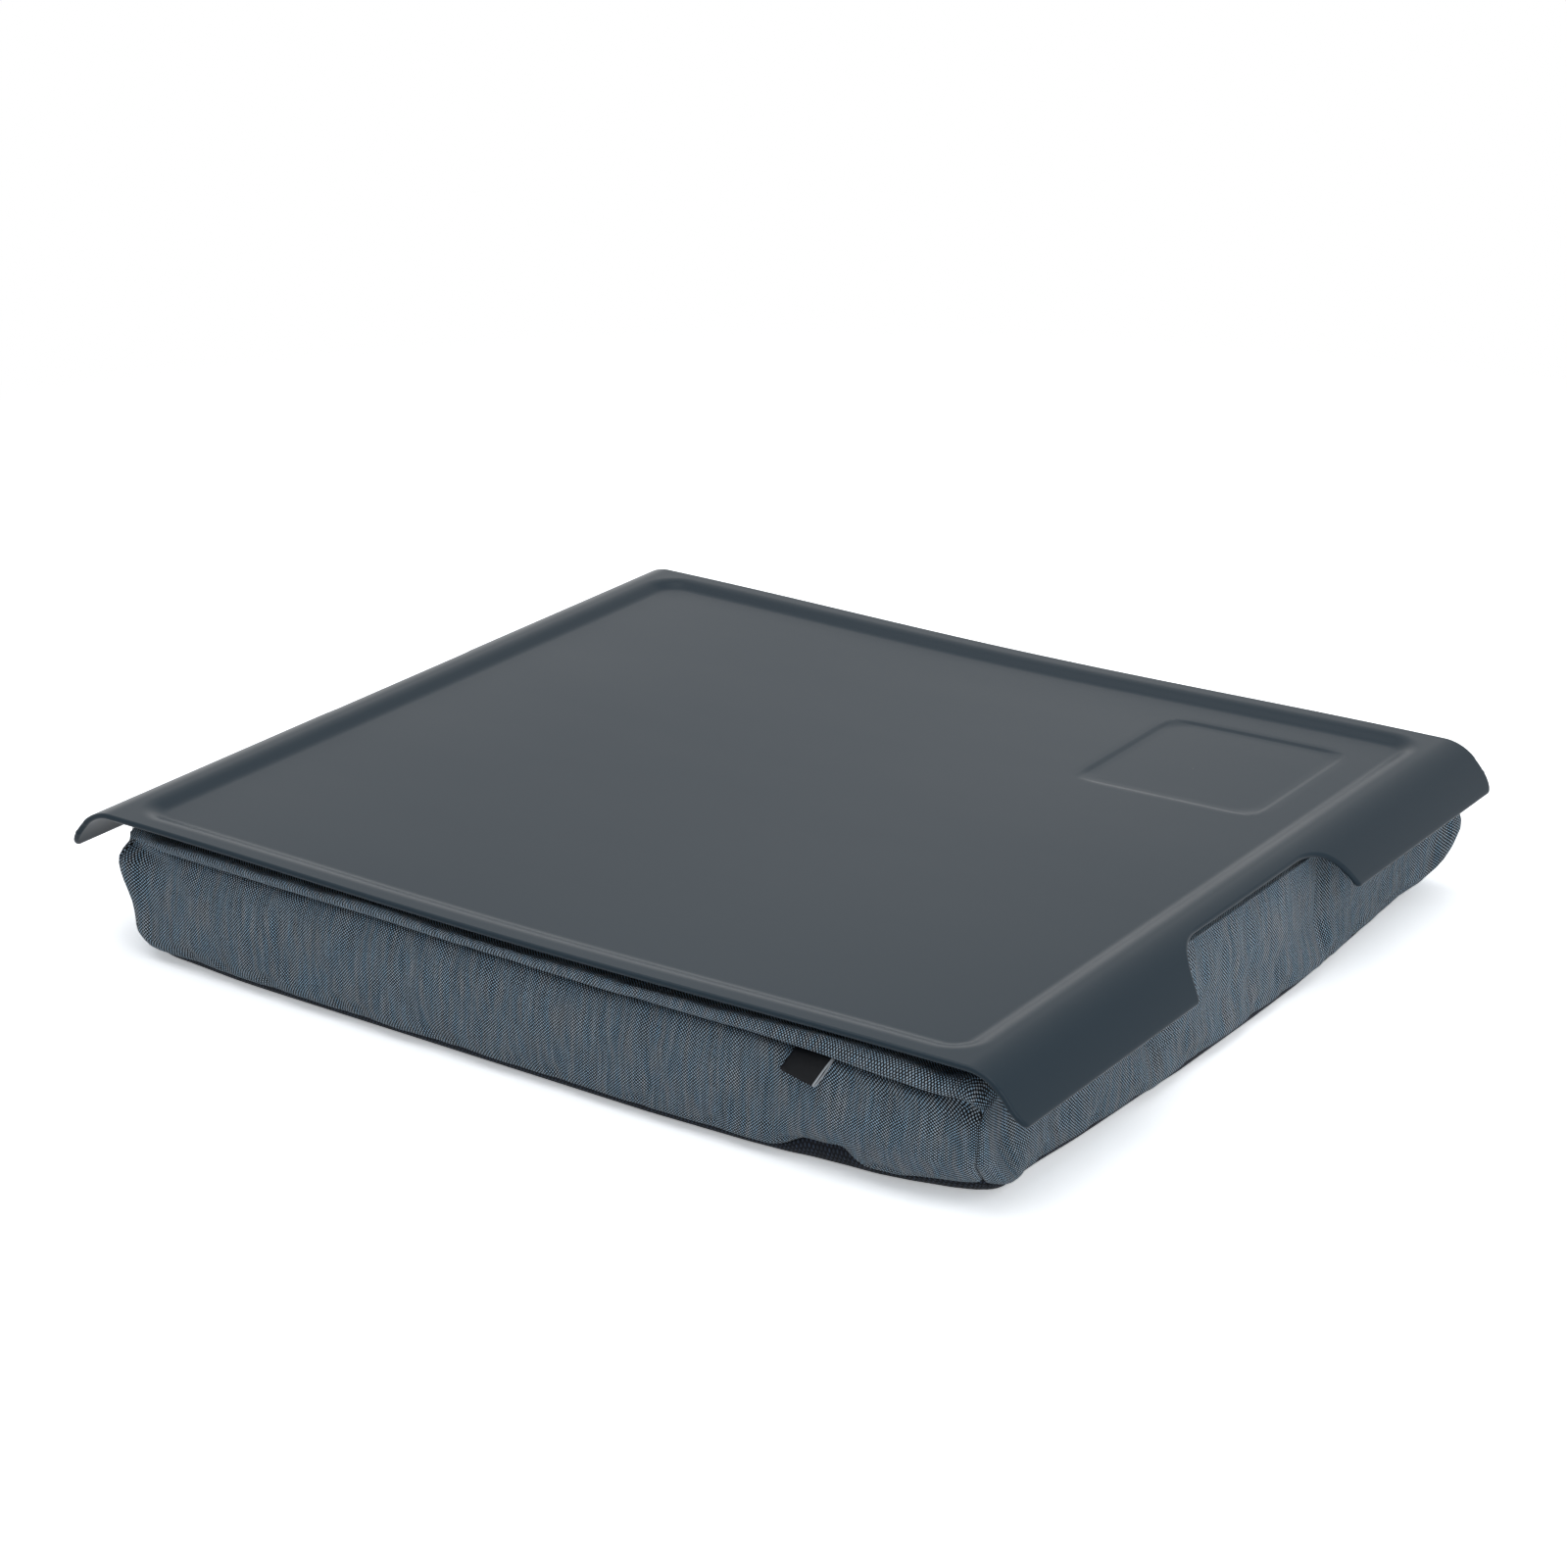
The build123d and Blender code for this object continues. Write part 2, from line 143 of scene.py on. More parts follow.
seen = node(paper, "Math", {
    0: ray.outputs["Is Camera Ray"], 1: gloss_or_glass,
}, operation="MAXIMUM")
spot = node(paper, "TexCoord")
reach = node(paper, "VectorMath", {0: spot.outputs["Object"]}, operation="LENGTH")
fade = node(paper, "MapRange", {
    "Value": reach.outputs["Value"], "From Min": 0.5, "From Max": 1.0,
}, interpolation_type="SMOOTHSTEP")
far_share = node(paper, "Math", {0: fade, 1: seen}, operation="MULTIPLY")
plain_white = node(paper, "Emission", {"Color": (1, 1, 1, 1), "Strength": 1.0})
all_paper = node(paper, "MixShader", {
    0: far_share, 1: near_paper, 2: plain_white,
})
node(paper, "OutputMaterial", {"Surface": all_paper})

floor_mesh = bpy.data.meshes.new("floor")
floor_mesh.from_pydata([(-6, -6, 0), (6, -6, 0), (6, 6, 0), (-6, 6, 0)], [], [(0, 1, 2, 3)])
floor_mesh.materials.append(paper)
floor = bpy.data.objects.new("floor", floor_mesh)
bpy.context.scene.collection.objects.link(floor)


# Tray: one sheet of black ABS, injection moulded and given a matt, slightly soft finish.
# Its rim sags a little between the grips, and its edges are rounded all the way over.
half_length, half_width, rim_top, sheet, edge_corner = 230.0, 192.5, 65.0, 2.5, 5.0
curl_radius, curl_turn = 20.0, math.radians(46)
lip_radius, lip_turn = 70.0, math.radians(12)
lip_slope = curl_turn + lip_turn
crest = half_length - (
    (curl_radius - lip_radius) * math.sin(curl_turn)
    + lip_radius * math.sin(lip_slope)
    + sheet / 2 * (1 - math.sin(lip_slope))
)
lip_end = crest + curl_radius * curl_turn + lip_radius * lip_turn
rim_sag = 2.3


def along_sheet(run):
    """Plan position and height of the sheet's top at a distance from the middle, along its surface."""
    past = np.abs(run) - crest
    curl = np.clip(past / curl_radius, 0, curl_turn)
    lip = np.clip(past - curl_radius * curl_turn, 0, None) / lip_radius + curl_turn
    out = np.minimum(np.abs(run), crest) + curl_radius * np.sin(curl)
    out = out + lip_radius * (np.sin(lip) - math.sin(curl_turn))
    drop = curl_radius * (1 - np.cos(curl)) + lip_radius * (math.cos(curl_turn) - np.cos(lip))
    return np.sign(run) * out, rim_top - drop


def sag(x):
    """How far the sheet hangs down between its two grips."""
    return rim_sag * np.cos(np.clip(x / crest, -1, 1) * math.pi / 2) ** 2


def inside_rounded(x, y, half_x, half_y, corner):
    """Distance to a rounded rectangle, positive inside it."""
    over_x, over_y = np.abs(x) - half_x + corner, np.abs(y) - half_y + corner
    outside = np.hypot(np.clip(over_x, 0, None), np.clip(over_y, 0, None))
    return corner - outside - np.minimum(np.maximum(over_x, over_y), 0)


def soft_step(value, low, high):
    share = np.clip((value - low) / (high - low), 0, 1)
    return share * share * (3 - 2 * share)


floor_half_x, floor_half_y, floor_corner = 198.3, 180.2, 12.0
floor_drop, ramp_slope, ramp_top, ramp_foot = 2.8, math.radians(22), 14.0, 9.0
recess_x, recess_y, recess_half, recess_corner, recess_drop, recess_edge = 135.4, 115.3, 42.0, 10.0, 0.6, 2.0
ramp_start = -floor_drop / math.tan(ramp_slope) / 2 - ramp_top * math.tan(ramp_slope / 2)
ramp_finish = floor_drop / math.tan(ramp_slope) / 2 + ramp_foot * math.tan(ramp_slope / 2)


def pressed_depth(x, y):
    """Depth of the floor and its ramp below the rim, and of the shallow square recess in it."""
    inside = inside_rounded(x, y, floor_half_x, floor_half_y, floor_corner)
    top = np.clip(inside - ramp_start, 0, ramp_top * math.sin(ramp_slope))
    foot = np.clip(ramp_finish - inside, 0, ramp_foot * math.sin(ramp_slope))
    start = inside - ramp_start - ramp_top * math.sin(ramp_slope)
    straight = np.clip(start, 0, None) * math.tan(ramp_slope)
    depth = ramp_top - np.sqrt(ramp_top ** 2 - top ** 2) + straight
    near_foot = floor_drop - ramp_foot + np.sqrt(ramp_foot ** 2 - foot ** 2)
    depth = np.where(inside > ramp_finish - ramp_foot * math.sin(ramp_slope), near_foot, depth)
    recess = inside_rounded(x - recess_x, y - recess_y, recess_half, recess_half, recess_corner)
    return depth + recess_drop * soft_step(recess, -recess_edge, recess_edge)


def lines(*stops):
    """Grid lines: a start, then pairs of an end and the spacing up to it."""
    made = [stops[0]]
    for end, spacing in stops[1:]:
        count = max(1, math.ceil((end - made[-1]) / spacing - 1e-6))
        made += list(np.linspace(made[-1], end, count + 1)[1:])
    return np.array(made)


# The outline of the grip end, from the middle of the finger notch round to the tray's corner: first as cut,
# and then drawn in by half the sheet's thickness
notch_x, notch_half, notch_bend, mouth_turn, mouth_bend = 214.6, 41, 27, math.radians(60), 3
runs = np.linspace(crest, lip_end + sheet / 2, 400)
tip_x = along_sheet(runs)[0][-1]
turns = np.linspace(0, mouth_turn, 60)
straight_x = tip_x - (notch_x + notch_bend) + notch_bend * math.cos(mouth_turn)
mouth_y = notch_half + notch_bend * math.sin(mouth_turn) + straight_x / math.tan(mouth_turn)
blend = np.linspace(mouth_turn, 0, 20)
blend_y = mouth_y + mouth_bend * math.tan(mouth_turn / 2) - mouth_bend * np.sin(blend)
corner = np.linspace(0, math.pi / 2, 40)
outline_x = np.concatenate([
    np.full(40, notch_x),
    notch_x + notch_bend - notch_bend * np.cos(turns),
    tip_x - mouth_bend + mouth_bend * np.cos(blend),
    tip_x - edge_corner + edge_corner * np.cos(corner),
])
outline_y = np.concatenate([
    np.linspace(0, notch_half - 0.5, 40),
    notch_half + notch_bend * np.sin(turns),
    blend_y,
    half_width - edge_corner + edge_corner * np.sin(corner),
])
outline_run = np.interp(outline_x, along_sheet(runs)[0], runs)
step_run, step_y = np.gradient(outline_run), np.gradient(outline_y)
step = np.hypot(step_run, step_y)
cut_run = outline_run - step_y / step * sheet / 2
cut_y = outline_y + step_run / step * sheet / 2

# Grid lines, closer together where the notch, the recess, the ramps and the corners bend the sheet
half_columns = np.concatenate([
    lines(0, (40, 3), (64.4, 0.8), (69, 0.4), (72, 1.5), (75, 0.4), (155.6, 4), (158.8, 0.4), (169, 4),
          (187.3, 0.8)),
    half_width - edge_corner + (edge_corner - sheet / 2) * np.sin(np.linspace(0.05, 1, 14) * math.pi / 2),
])
columns = np.concatenate([-half_columns[:0:-1], half_columns])
half_rows = lines(0, (91.6, 4), (95, 0.4), (175.8, 4), (179, 0.4), (187, 4), (205.6, 0.8))
end_shares = np.linspace(0, 1, 30)[1:]
run_limit = np.interp(np.abs(columns), cut_y, cut_run)
end_runs = half_rows[-1] + end_shares[:, None] * (run_limit - half_rows[-1])
half_runs = np.concatenate([np.repeat(half_rows[:, None], len(columns), 1), end_runs])
run_grid = np.concatenate([-half_runs[:0:-1], half_runs])
tray_x, tray_z = along_sheet(run_grid)
tray_y = np.broadcast_to(columns, run_grid.shape)
upper = np.stack([tray_x, tray_y, tray_z - pressed_depth(tray_x, tray_y) - sag(tray_x)], 2)


def outward(grid):
    """Unit normals of a grid of points."""
    normals = np.cross(np.gradient(grid, axis=0), np.gradient(grid, axis=1))
    return normals / np.linalg.norm(normals, axis=2, keepdims=True)


def around(grid):
    """The border of a grid, once round."""
    return np.concatenate([grid[:-1, 0], grid[-1, :-1], grid[:0:-1, -1], grid[0, :0:-1]])


def quads(index):
    """The faces between the rows and columns of a grid of vertex numbers."""
    corners = (index[:-1, :-1], index[1:, :-1], index[1:, 1:], index[:-1, 1:])
    return np.stack([c.ravel() for c in corners], 1)


def wrapped(index):
    """The faces between rows of vertex numbers that each close into a loop."""
    return quads(np.concatenate([index, index[:, :1]], 1))


def sheet_faces(shape, edge_rows=0):
    """The faces of a closed sheet: a grid, then its underside, then the rows of points round its edge."""
    top = np.arange(math.prod(shape)).reshape(shape)
    border = around(top)
    edge = 2 * top.size + np.arange(edge_rows * len(border)).reshape(edge_rows, len(border))
    strips = np.concatenate([border[None], edge, border[None] + top.size])
    return np.concatenate([quads(top), quads(top + top.size)[:, ::-1], wrapped(strips)])


def piece(name, points, faces, finish, body, replaced=(), uv=None):
    """A mesh object from points in millimetres; it rides on a body and stands for CAD nodes."""
    mesh = bpy.data.meshes.new(name)
    points = np.asarray(points).reshape(-1, 3) / 1000
    mesh.from_pydata(points.tolist(), [], [list(map(int, f)) for f in faces])
    mesh.shade_smooth()
    mesh.materials.append(finish)
    if uv is not None:
        corner_vertices = np.zeros(len(mesh.loops), np.int32)
        mesh.loops.foreach_get("vertex_index", corner_vertices)
        layer = mesh.uv_layers.new(name="cloth")
        layer.uv.foreach_set("vector", (np.asarray(uv)[corner_vertices] / 1000).astype(np.float32).ravel())
    made = bpy.data.objects.new(name, mesh)
    bpy.context.scene.collection.objects.link(made)
    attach(made, body)
    if replaced:
        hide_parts(*replaced)
    return made


normals = outward(upper)
under = upper - normals * sheet
edge_top, edge_normal = around(upper), around(normals)
edge_along = np.roll(edge_top, -1, 0) - np.roll(edge_top, 1, 0)
edge_out = np.cross(edge_along, edge_normal)
edge_out /= np.linalg.norm(edge_out, axis=1, keepdims=True)
edge_middle = edge_top - edge_normal * sheet / 2
rounds = [
    edge_middle + sheet / 2 * (math.cos(turn) * edge_normal + math.sin(turn) * edge_out)
    for turn in np.linspace(0, math.pi, 7)[1:-1]
]
tray_points = np.concatenate([upper.reshape(-1, 3), under.reshape(-1, 3), *rounds])
tray_faces = sheet_faces(upper.shape[:2], len(rounds))


def begin(name, **plain):
    """A new material; the values that are the same all over go on its shader's own sockets."""
    finish = bpy.data.materials.new(name)
    finish.use_nodes = True
    shader = finish.node_tree.nodes["Principled BSDF"]
    for socket, value in plain.items():
        shader.inputs[socket.replace("_", " ")].default_value = value
    return finish


def feed(finish, **sources):
    """Links nodes, or one of their outputs, to the shader's sockets."""
    shader = finish.node_tree.nodes["Principled BSDF"]
    for socket, source in sources.items():
        output = source.outputs[0] if isinstance(source, bpy.types.Node) else source
        finish.node_tree.links.new(output, shader.inputs[socket.replace("_", " ")])


# Matt ABS: a grain of 0.5 mm takes the shine off, with faint wipe marks and a few light specks
abs_matt = begin("ABS moulded matt blue-black", IOR=1.3, Roughness=0.3)
place = node(abs_matt, "TexCoord").outputs["Object"]
grain = node(abs_matt, "TexNoise", {
    "Vector": place, "Scale": 1 / 0.0005, "Detail": 2.0, "Roughness": 0.6,
})
cloud = node(abs_matt, "TexNoise", {
    "Vector": place, "Scale": 1 / 0.09, "Detail": 4.0, "Roughness": 0.6,
})
shades = node(abs_matt, "Mix", {
    0: cloud.outputs["Fac"], 6: colour("#192B37"), 7: colour("#1D2F3A"),
}, data_type="RGBA")
wiped = node(abs_matt, "Mapping", {
    "Vector": place, "Rotation": (0, 0, 0.5), "Scale": (1 / 0.16, 1 / 0.05, 1 / 0.1),
})
wipes = node(abs_matt, "TexNoise", {"Vector": wiped, "Scale": 1.0, "Detail": 3.0})
rough = node(abs_matt, "MapRange", {
    "Value": wipes.outputs["Fac"], "From Min": 0.3, "From Max": 0.75, "To Min": 0.32, "To Max": 0.28,
})
dust = node(abs_matt, "TexVoronoi", {"Vector": place, "Scale": 1 / 0.022})
speck = node(abs_matt, "MapRange", {
    "Value": dust.outputs["Distance"], "From Min": 0.018, "From Max": 0.030, "To Min": 0.5, "To Max": 0.0,
})
kept_specks = node(abs_matt, "Math", {0: dust.outputs["Color"], 1: 0.8}, operation="GREATER_THAN")
specks = node(abs_matt, "Math", {0: speck, 1: kept_specks}, operation="MULTIPLY")
dusty = node(abs_matt, "Mix", {
    0: specks, 6: shades.outputs[2], 7: colour("#7C8084"),
}, data_type="RGBA")
bump = node(abs_matt, "Bump", {"Height": grain.outputs["Fac"], "Strength": 0.35, "Distance": 0.00004})
feed(abs_matt, Base_Color=dusty.outputs[2], Roughness=rough, Normal=bump)

piece("tray_sheet", tray_points, tray_faces, abs_matt, "tray", ["tray"])


# Cushion cover: a boxed cushion of woven polyester, sewn from a top panel, four side bands and a base panel.
# It is filled with beads, so the bands belly out between the seams, and puckers run in from the stitches.
cushion_x, cushion_y, top_corner, base_corner, base_draw_in = 209.5, 186.5, 6.0, 14.0, 6.5
bow, bow_from_x, bow_from_y = 3.0, 126, 75
seam_low, seam_high, top_draw_in = 4.0, 49.0, 3.5
band_height = seam_high - seam_low
floor_under = rim_top - floor_drop - sheet
tape_gap = 2.6
crown_top = floor_under - tape_gap
cells_x, cells_y, band_cells, cell = 82, 74, 9, 5.0


def ring(side, share, half_x, half_y, corner):
    """Places on a rounded rectangle; share -1 to 1 runs along a side between the middles of its corners."""
    long_side = side % 2 == 0
    straight = np.where(long_side, half_x, half_y) - corner
    other = np.where(long_side, half_y, half_x) - corner
    travel = np.abs(share) * (straight + corner * math.pi / 4)
    turn = np.clip(travel - straight, 0, None) / np.maximum(corner, 1e-6)
    along = np.sign(share) * (np.minimum(travel, straight) + corner * np.sin(turn))
    out = other + corner * np.cos(turn)
    x = np.select([side == 0, side == 1, side == 2], [along, out, -along], -out)
    y = np.select([side == 0, side == 1, side == 2], [-out, along, out], -along)
    return x, y


def bowed(x, y, half_x, half_y):
    """The sides bow in a little towards the corners."""
    in_y = bow * (np.clip(np.abs(x) - bow_from_x, 0, None) / (cushion_x - bow - bow_from_x)) ** 2
    in_x = bow * (np.clip(np.abs(y) - bow_from_y, 0, None) / (cushion_y - bow - bow_from_y)) ** 2
    in_x = in_x * np.clip((np.abs(x) - 40) / 150, 0, 1)
    in_y = in_y * np.clip((np.abs(y) - 40) / 130, 0, 1)
    scale = np.clip(half_y / cushion_y, 0, 1)
    return x - np.sign(x) * in_x * scale, y - np.sign(y) * in_y * scale


def panel_rings(i, j, cells_x=cells_x, cells_y=cells_y):
    """For places on a panel's grid: how many cells in from its border, which side, and the share along it."""
    depth = np.minimum(np.minimum(i, cells_x - i), np.minimum(j, cells_y - j))
    on_side = [np.isclose(depth, j), np.isclose(depth, cells_x - i), np.isclose(depth, cells_y - j)]
    side = np.select(on_side, [0, 1, 2], 3)
    long_side = side % 2 == 0
    run = np.where(long_side, 2 * i - cells_x, 2 * j - cells_y)
    span = np.where(long_side, cells_x, cells_y) - 2 * depth
    share = np.where(span > 1e-6, run / np.maximum(span, 1e-6), 0) * np.where(side >= 2, -1, 1)
    return depth, side, share


def open_seam(side, share):
    """1 where the roll overhangs the front and back seams, 0 at the corners and on the filled-out sides."""
    near_right, elsewhere = 42, 14
    right_end = np.where(side == 0, (1 - share) * near_right, (1 + share) * elsewhere)
    left_end = np.where(side == 0, (1 + share) * elsewhere, (1 - share) * elsewhere)
    overhang = (1 - np.exp(-right_end ** 2)) * (1 - np.exp(-left_end ** 2))
    return np.where(np.equal(side % 2, 0), overhang, 0.0)


def crown_at(i, j):
    """The top panel: from its seam it swells in a roll, and flattens where the tray rests on it."""
    depth, side, share = panel_rings(i, j)
    inset = depth * cell
    cells_along = np.where(side % 2 == 0, cells_x - 2 * depth, cells_y - 2 * depth)
    away = soft_step((1 - np.abs(share)) * cells_along * cell / 2, 0, 24)
    opened = open_seam(side, share)
    roll_reach = 2.5 + opened * (6.0 + 7.0 * away)
    rolled = roll_reach * (1 - np.exp(-inset / 3.2)) * np.exp(-(inset / 45) ** 2)
    half_x = (cushion_x - top_draw_in * opened) * (1 - 2 * depth / cells_x) + rolled
    half_y = (cushion_y - top_draw_in * opened) * (1 - 2 * depth / cells_y) + rolled
    corner = top_corner * (1 - soft_step(inset, 40, 100))
    x, y = ring(side, share, half_x, half_y, np.minimum(corner, np.minimum(half_x, half_y)))
    x, y = bowed(x, y, half_x, half_y)
    rise = 1 - np.exp(-(inset / 4.5) ** 1.3)
    roll_height, roll_middle, edge_drop, edge_reach = 4.4, 7, 3.4, 32
    swollen = (inset / roll_middle) ** 2 * np.exp(1 - (inset / roll_middle) ** 2)
    slump = 1 + 1.1 * soft_step(x, 176, 202) * soft_step(-y, 140, 175)
    top = crown_top - sag(x) - edge_drop * slump * np.exp(-(inset / edge_reach) ** 2)
    return np.stack([x, y, seam_high + rise * (top - seam_high) + roll_height * swollen], -1)


def base_at(i, j):
    """The base panel: it rolls under from its seam and lies flat on the lap or the table."""
    depth, side, share = panel_rings(i, j)
    half_x = (cushion_x - base_draw_in) * (1 - 2 * depth / cells_x)
    half_y = (cushion_y - base_draw_in) * (1 - 2 * depth / cells_y)
    corner = base_corner * (1 - soft_step(depth * cell, 40, 100))
    x, y = ring(side, share, half_x, half_y, np.minimum(corner, np.minimum(half_x, half_y)))
    x, y = bowed(x, y, half_x, half_y)
    return np.stack([x, y, seam_low * (1 - np.clip(depth * cell / 8, 0, 1)) ** 2], -1)


def strayed(side, share, rise):
    """How far the upright seams of the near corners have slipped round to the front, most at their feet."""
    front, far_away, half_side, reach = np.equal(side, 0), 9.0, 190, 24
    to_right = np.where(front, 1 - share, np.where(np.equal(side, 1), 1 + share, far_away)) * half_side
    to_left = np.where(front, 1 + share, np.where(np.equal(side, 3), 1 - share, far_away)) * half_side
    slipped = 2.8 * np.exp(-(to_right / reach) ** 2) - 6.0 * np.exp(-(to_left / reach) ** 2)
    return slipped * np.clip(1 - rise, 0, 1) ** 1.2


def band_at(side, share, rise):
    """The upright bands: drawn in at both seams, with a belly between them."""
    draw_in = base_draw_in * np.clip(1 - rise / 0.2, 0, 1) ** 2
    draw_in = draw_in + top_draw_in * open_seam(side, share) * np.clip((rise - 0.8) / 0.2, 0, 1) ** 2
    half_x, half_y = cushion_x - draw_in, cushion_y - draw_in
    corner = base_corner + (top_corner - base_corner) * soft_step(rise, 0, 0.8)
    reach_x, reach_y = (half - corner * (1 - math.pi / 4) for half in (half_x, half_y))
    share = share - strayed(side, share, rise) / np.where(np.equal(side % 2, 0), reach_x, reach_y)
    from_right, from_left = np.equal(side, 1) & (share < -1), np.equal(side, 3) & (share > 1)
    share = np.where(from_right, 1 + (1 + share) * reach_y / reach_x, share)
    share = np.where(from_left, (share - 1) * reach_y / reach_x - 1, share)
    side = np.where(from_right | from_left, 0, side)
    x, y = ring(side, share, half_x, half_y, corner)
    x, y = bowed(x, y, half_x, half_y)
    return np.stack([x, y, seam_low + rise * (seam_high - seam_low)], -1)


# A coarse whole cushion for the cloth pass, its panels joined along the seams
girth = 2 * (cells_x + cells_y)
p = np.arange(girth)
side_starts = np.array([0, cells_x, cells_x + cells_y, 2 * cells_x + cells_y])
ring_side = np.searchsorted(side_starts, p, side="right") - 1
side_cells = np.where(ring_side % 2 == 0, cells_x, cells_y)
ring_share = 2 * (p - side_starts[ring_side]) / side_cells - 1
rises = np.linspace(0, 1, band_cells + 1)
band_coarse = band_at(ring_side[None], ring_share[None], rises[:, None] + 0 * ring_share[None])
ci, cj = np.meshgrid(np.arange(cells_x + 1.0), np.arange(cells_y + 1.0), indexing="ij")
crown_coarse, base_coarse = crown_at(ci, cj), base_at(ci, cj)
band_index = np.arange(band_coarse[..., 0].size).reshape(band_coarse.shape[:2])
inner = (cells_x - 1) * (cells_y - 1)
up_x, up_y = np.arange(cells_x), np.arange(cells_y)
rim_i = np.concatenate([up_x, 0 * up_y + cells_x, cells_x - up_x, 0 * up_y])
rim_j = np.concatenate([0 * up_x, up_y, 0 * up_x + cells_y, cells_y - up_y])
panel_index = {}
for panel, row, start in (("crown", -1, band_index.size), ("base", 0, band_index.size + inner)):
    index = np.zeros((cells_x + 1, cells_y + 1), int)
    index[1:-1, 1:-1] = start + np.arange(inner).reshape(cells_x - 1, cells_y - 1)
    index[rim_i, rim_j] = band_index[row]
    panel_index[panel] = index
coarse_points = np.concatenate([
    part.reshape(-1, 3) for part in (band_coarse, crown_coarse[1:-1, 1:-1], base_coarse[1:-1, 1:-1])
])
coarse_faces = np.concatenate([
    wrapped(band_index)[:, ::-1], quads(panel_index["crown"]), quads(panel_index["base"])[:, ::-1],
])
swell = np.zeros_like(coarse_points)
cloth_mesh = bpy.data.meshes.new("cloth pass")
cloth_mesh.from_pydata((coarse_points / 1000).tolist(), [], coarse_faces.tolist())
cloth = bpy.data.objects.new("cloth pass", cloth_mesh)
bpy.context.scene.collection.objects.link(cloth)
held, beside_corner = np.zeros(len(coarse_points)), 0.85
corner_columns = side_starts[:, None] + np.array([-1, 0, 1])
held[band_index[:, corner_columns.ravel() % girth].ravel()] = beside_corner
held[band_index[:, side_starts].ravel()] = 1.0
held[band_index[[0, -1]].ravel()] = 1.0
depth = panel_rings(ci, cj)[0] * cell
held[panel_index["crown"][depth > 40]] = 1.0
held[panel_index["base"][depth > 9]] = 1.0
across, out, up = coarse_points.T
held[(out > 180) & (np.abs(across) < 128) & (up > 11) & (up < 42)] = 1.0  # stiffened by the zip
sewn = cloth.vertex_groups.new(name="sewn")
for weight in (beside_corner, 1.0):
    sewn.add(np.flatnonzero(held == weight).tolist(), weight, "REPLACE")
simulated = cloth.modifiers.new("cloth", "CLOTH")
settings = simulated.settings
settings.quality = 5
settings.mass = 0.15
settings.tension_stiffness = settings.compression_stiffness = 12
settings.bending_stiffness = 0.3
settings.vertex_group_mass = "sewn"
settings.use_pressure = True
settings.uniform_pressure_force = 4.0
settings.shrink_min = -0.012
settings.effector_weights.gravity = 0
simulated.collision_settings.use_collision = False
last_moment = 20
simulated.point_cache.frame_start, simulated.point_cache.frame_end = 1, last_moment
for moment in range(1, last_moment + 1):
    bpy.context.scene.frame_set(moment)
settled = cloth.evaluated_get(bpy.context.evaluated_depsgraph_get())
flat = np.zeros(3 * len(coarse_points), np.float32)
settled.data.vertices.foreach_get("co", flat)
swell = flat.reshape(-1, 3) * 1000.0 - coarse_points
bpy.data.objects.remove(cloth)
bpy.data.meshes.remove(cloth_mesh)
bpy.context.scene.frame_set(1)
size = np.linalg.norm(swell, axis=1, keepdims=True)
print("cloth pass moved", float(size.max()), "mm at most,", float(size.mean()), "on average")
furthest, crown_share = 6.0, 0.4
swell *= np.minimum(1, furthest / np.maximum(size, 1e-9))
swell[coarse_points[:, 2] > seam_high] *= crown_share


def between(grid, places, wrap=False):
    """Rows between the rows of a grid, on a smooth curve through them."""
    whole = np.floor(places).astype(int)
    part = (places - whole)[:, None, None]
    count = len(grid)
    rows = [whole + k for k in (-1, 0, 1, 2)]
    a, b, c, d = (grid[r % count] if wrap else grid[np.clip(r, 0, count - 1)] for r in rows)
    return b + 0.5 * part * (c - a + part * (2 * a - 5 * b + 4 * c - d + part * (3 * (b - c) + d - a)))


def waves(along, seed):
    """An uneven, repeatable wobble between -1 and 1, for a length in millimetres."""
    three = ((1, 7.9, 1), (0.8, 4.7, 2.1), (0.9, 13.3, 0.7))
    return sum(size * np.sin(along / length + turn * seed) for size, length, turn in three) / 2.7


# Where the photograph shows the filling pushing out or the cloth pulled in: place, reach, and movement
hand_moves = (
    ((-210, -186, 38), (10, 9, 9), (-3.2, -1.5, 0)),
    ((-207, -184, 24), (15, 20, 40), (-5.0, -1.5, 0)),
    ((-210, -183, 51), (9, 7, 5), (5.5, 0, 0)),
    ((-204, -187, 46), (6, 6, 2.2), (1.5, 7.0, 0)),
    ((-193, -188, 44), (9, 5, 2.4), (0, 5.0, 0)),
    ((-210, -174, 24), (6, 7, 12), (4.5, 0, 0)),
    ((-205, -183, 10), (6, 8, 12), (1.5, 1.0, 0)),
    ((207, -184, 26), (12, 12, 14), (2.5, -0.5, 0)),
    ((211, -165, 14), (12, 11, 9), (1.8, 0, 0)),
    ((208, -166, 30), (8, 4.5, 13), (-4.0, 0, 0)),
    ((208, -136, 22), (14, 13, 16), (-2.8, 0, 0)),
    ((205, -184, 46), (8, 6, 6), (-0.5, 1.0, -0.9)),
    ((200, -186, 47.5), (5, 4, 2.0), (0, 6.0, 0)),
    ((210, -178, 46), (6, 7, 8), (1.0, -1.5, 0)),
    ((180, -186, 53), (24, 8, 5), (0, -1.0, 0.9)),
    ((190, -186, 25), (26, 14, 16), (1.0, -2.0, 0)),
    ((209, 189, 27), (18, 18, 14), (14.5, 12.0, 0)),
    ((207, 185, 3), (15, 15, 7), (0, 0, 6.0)),
)


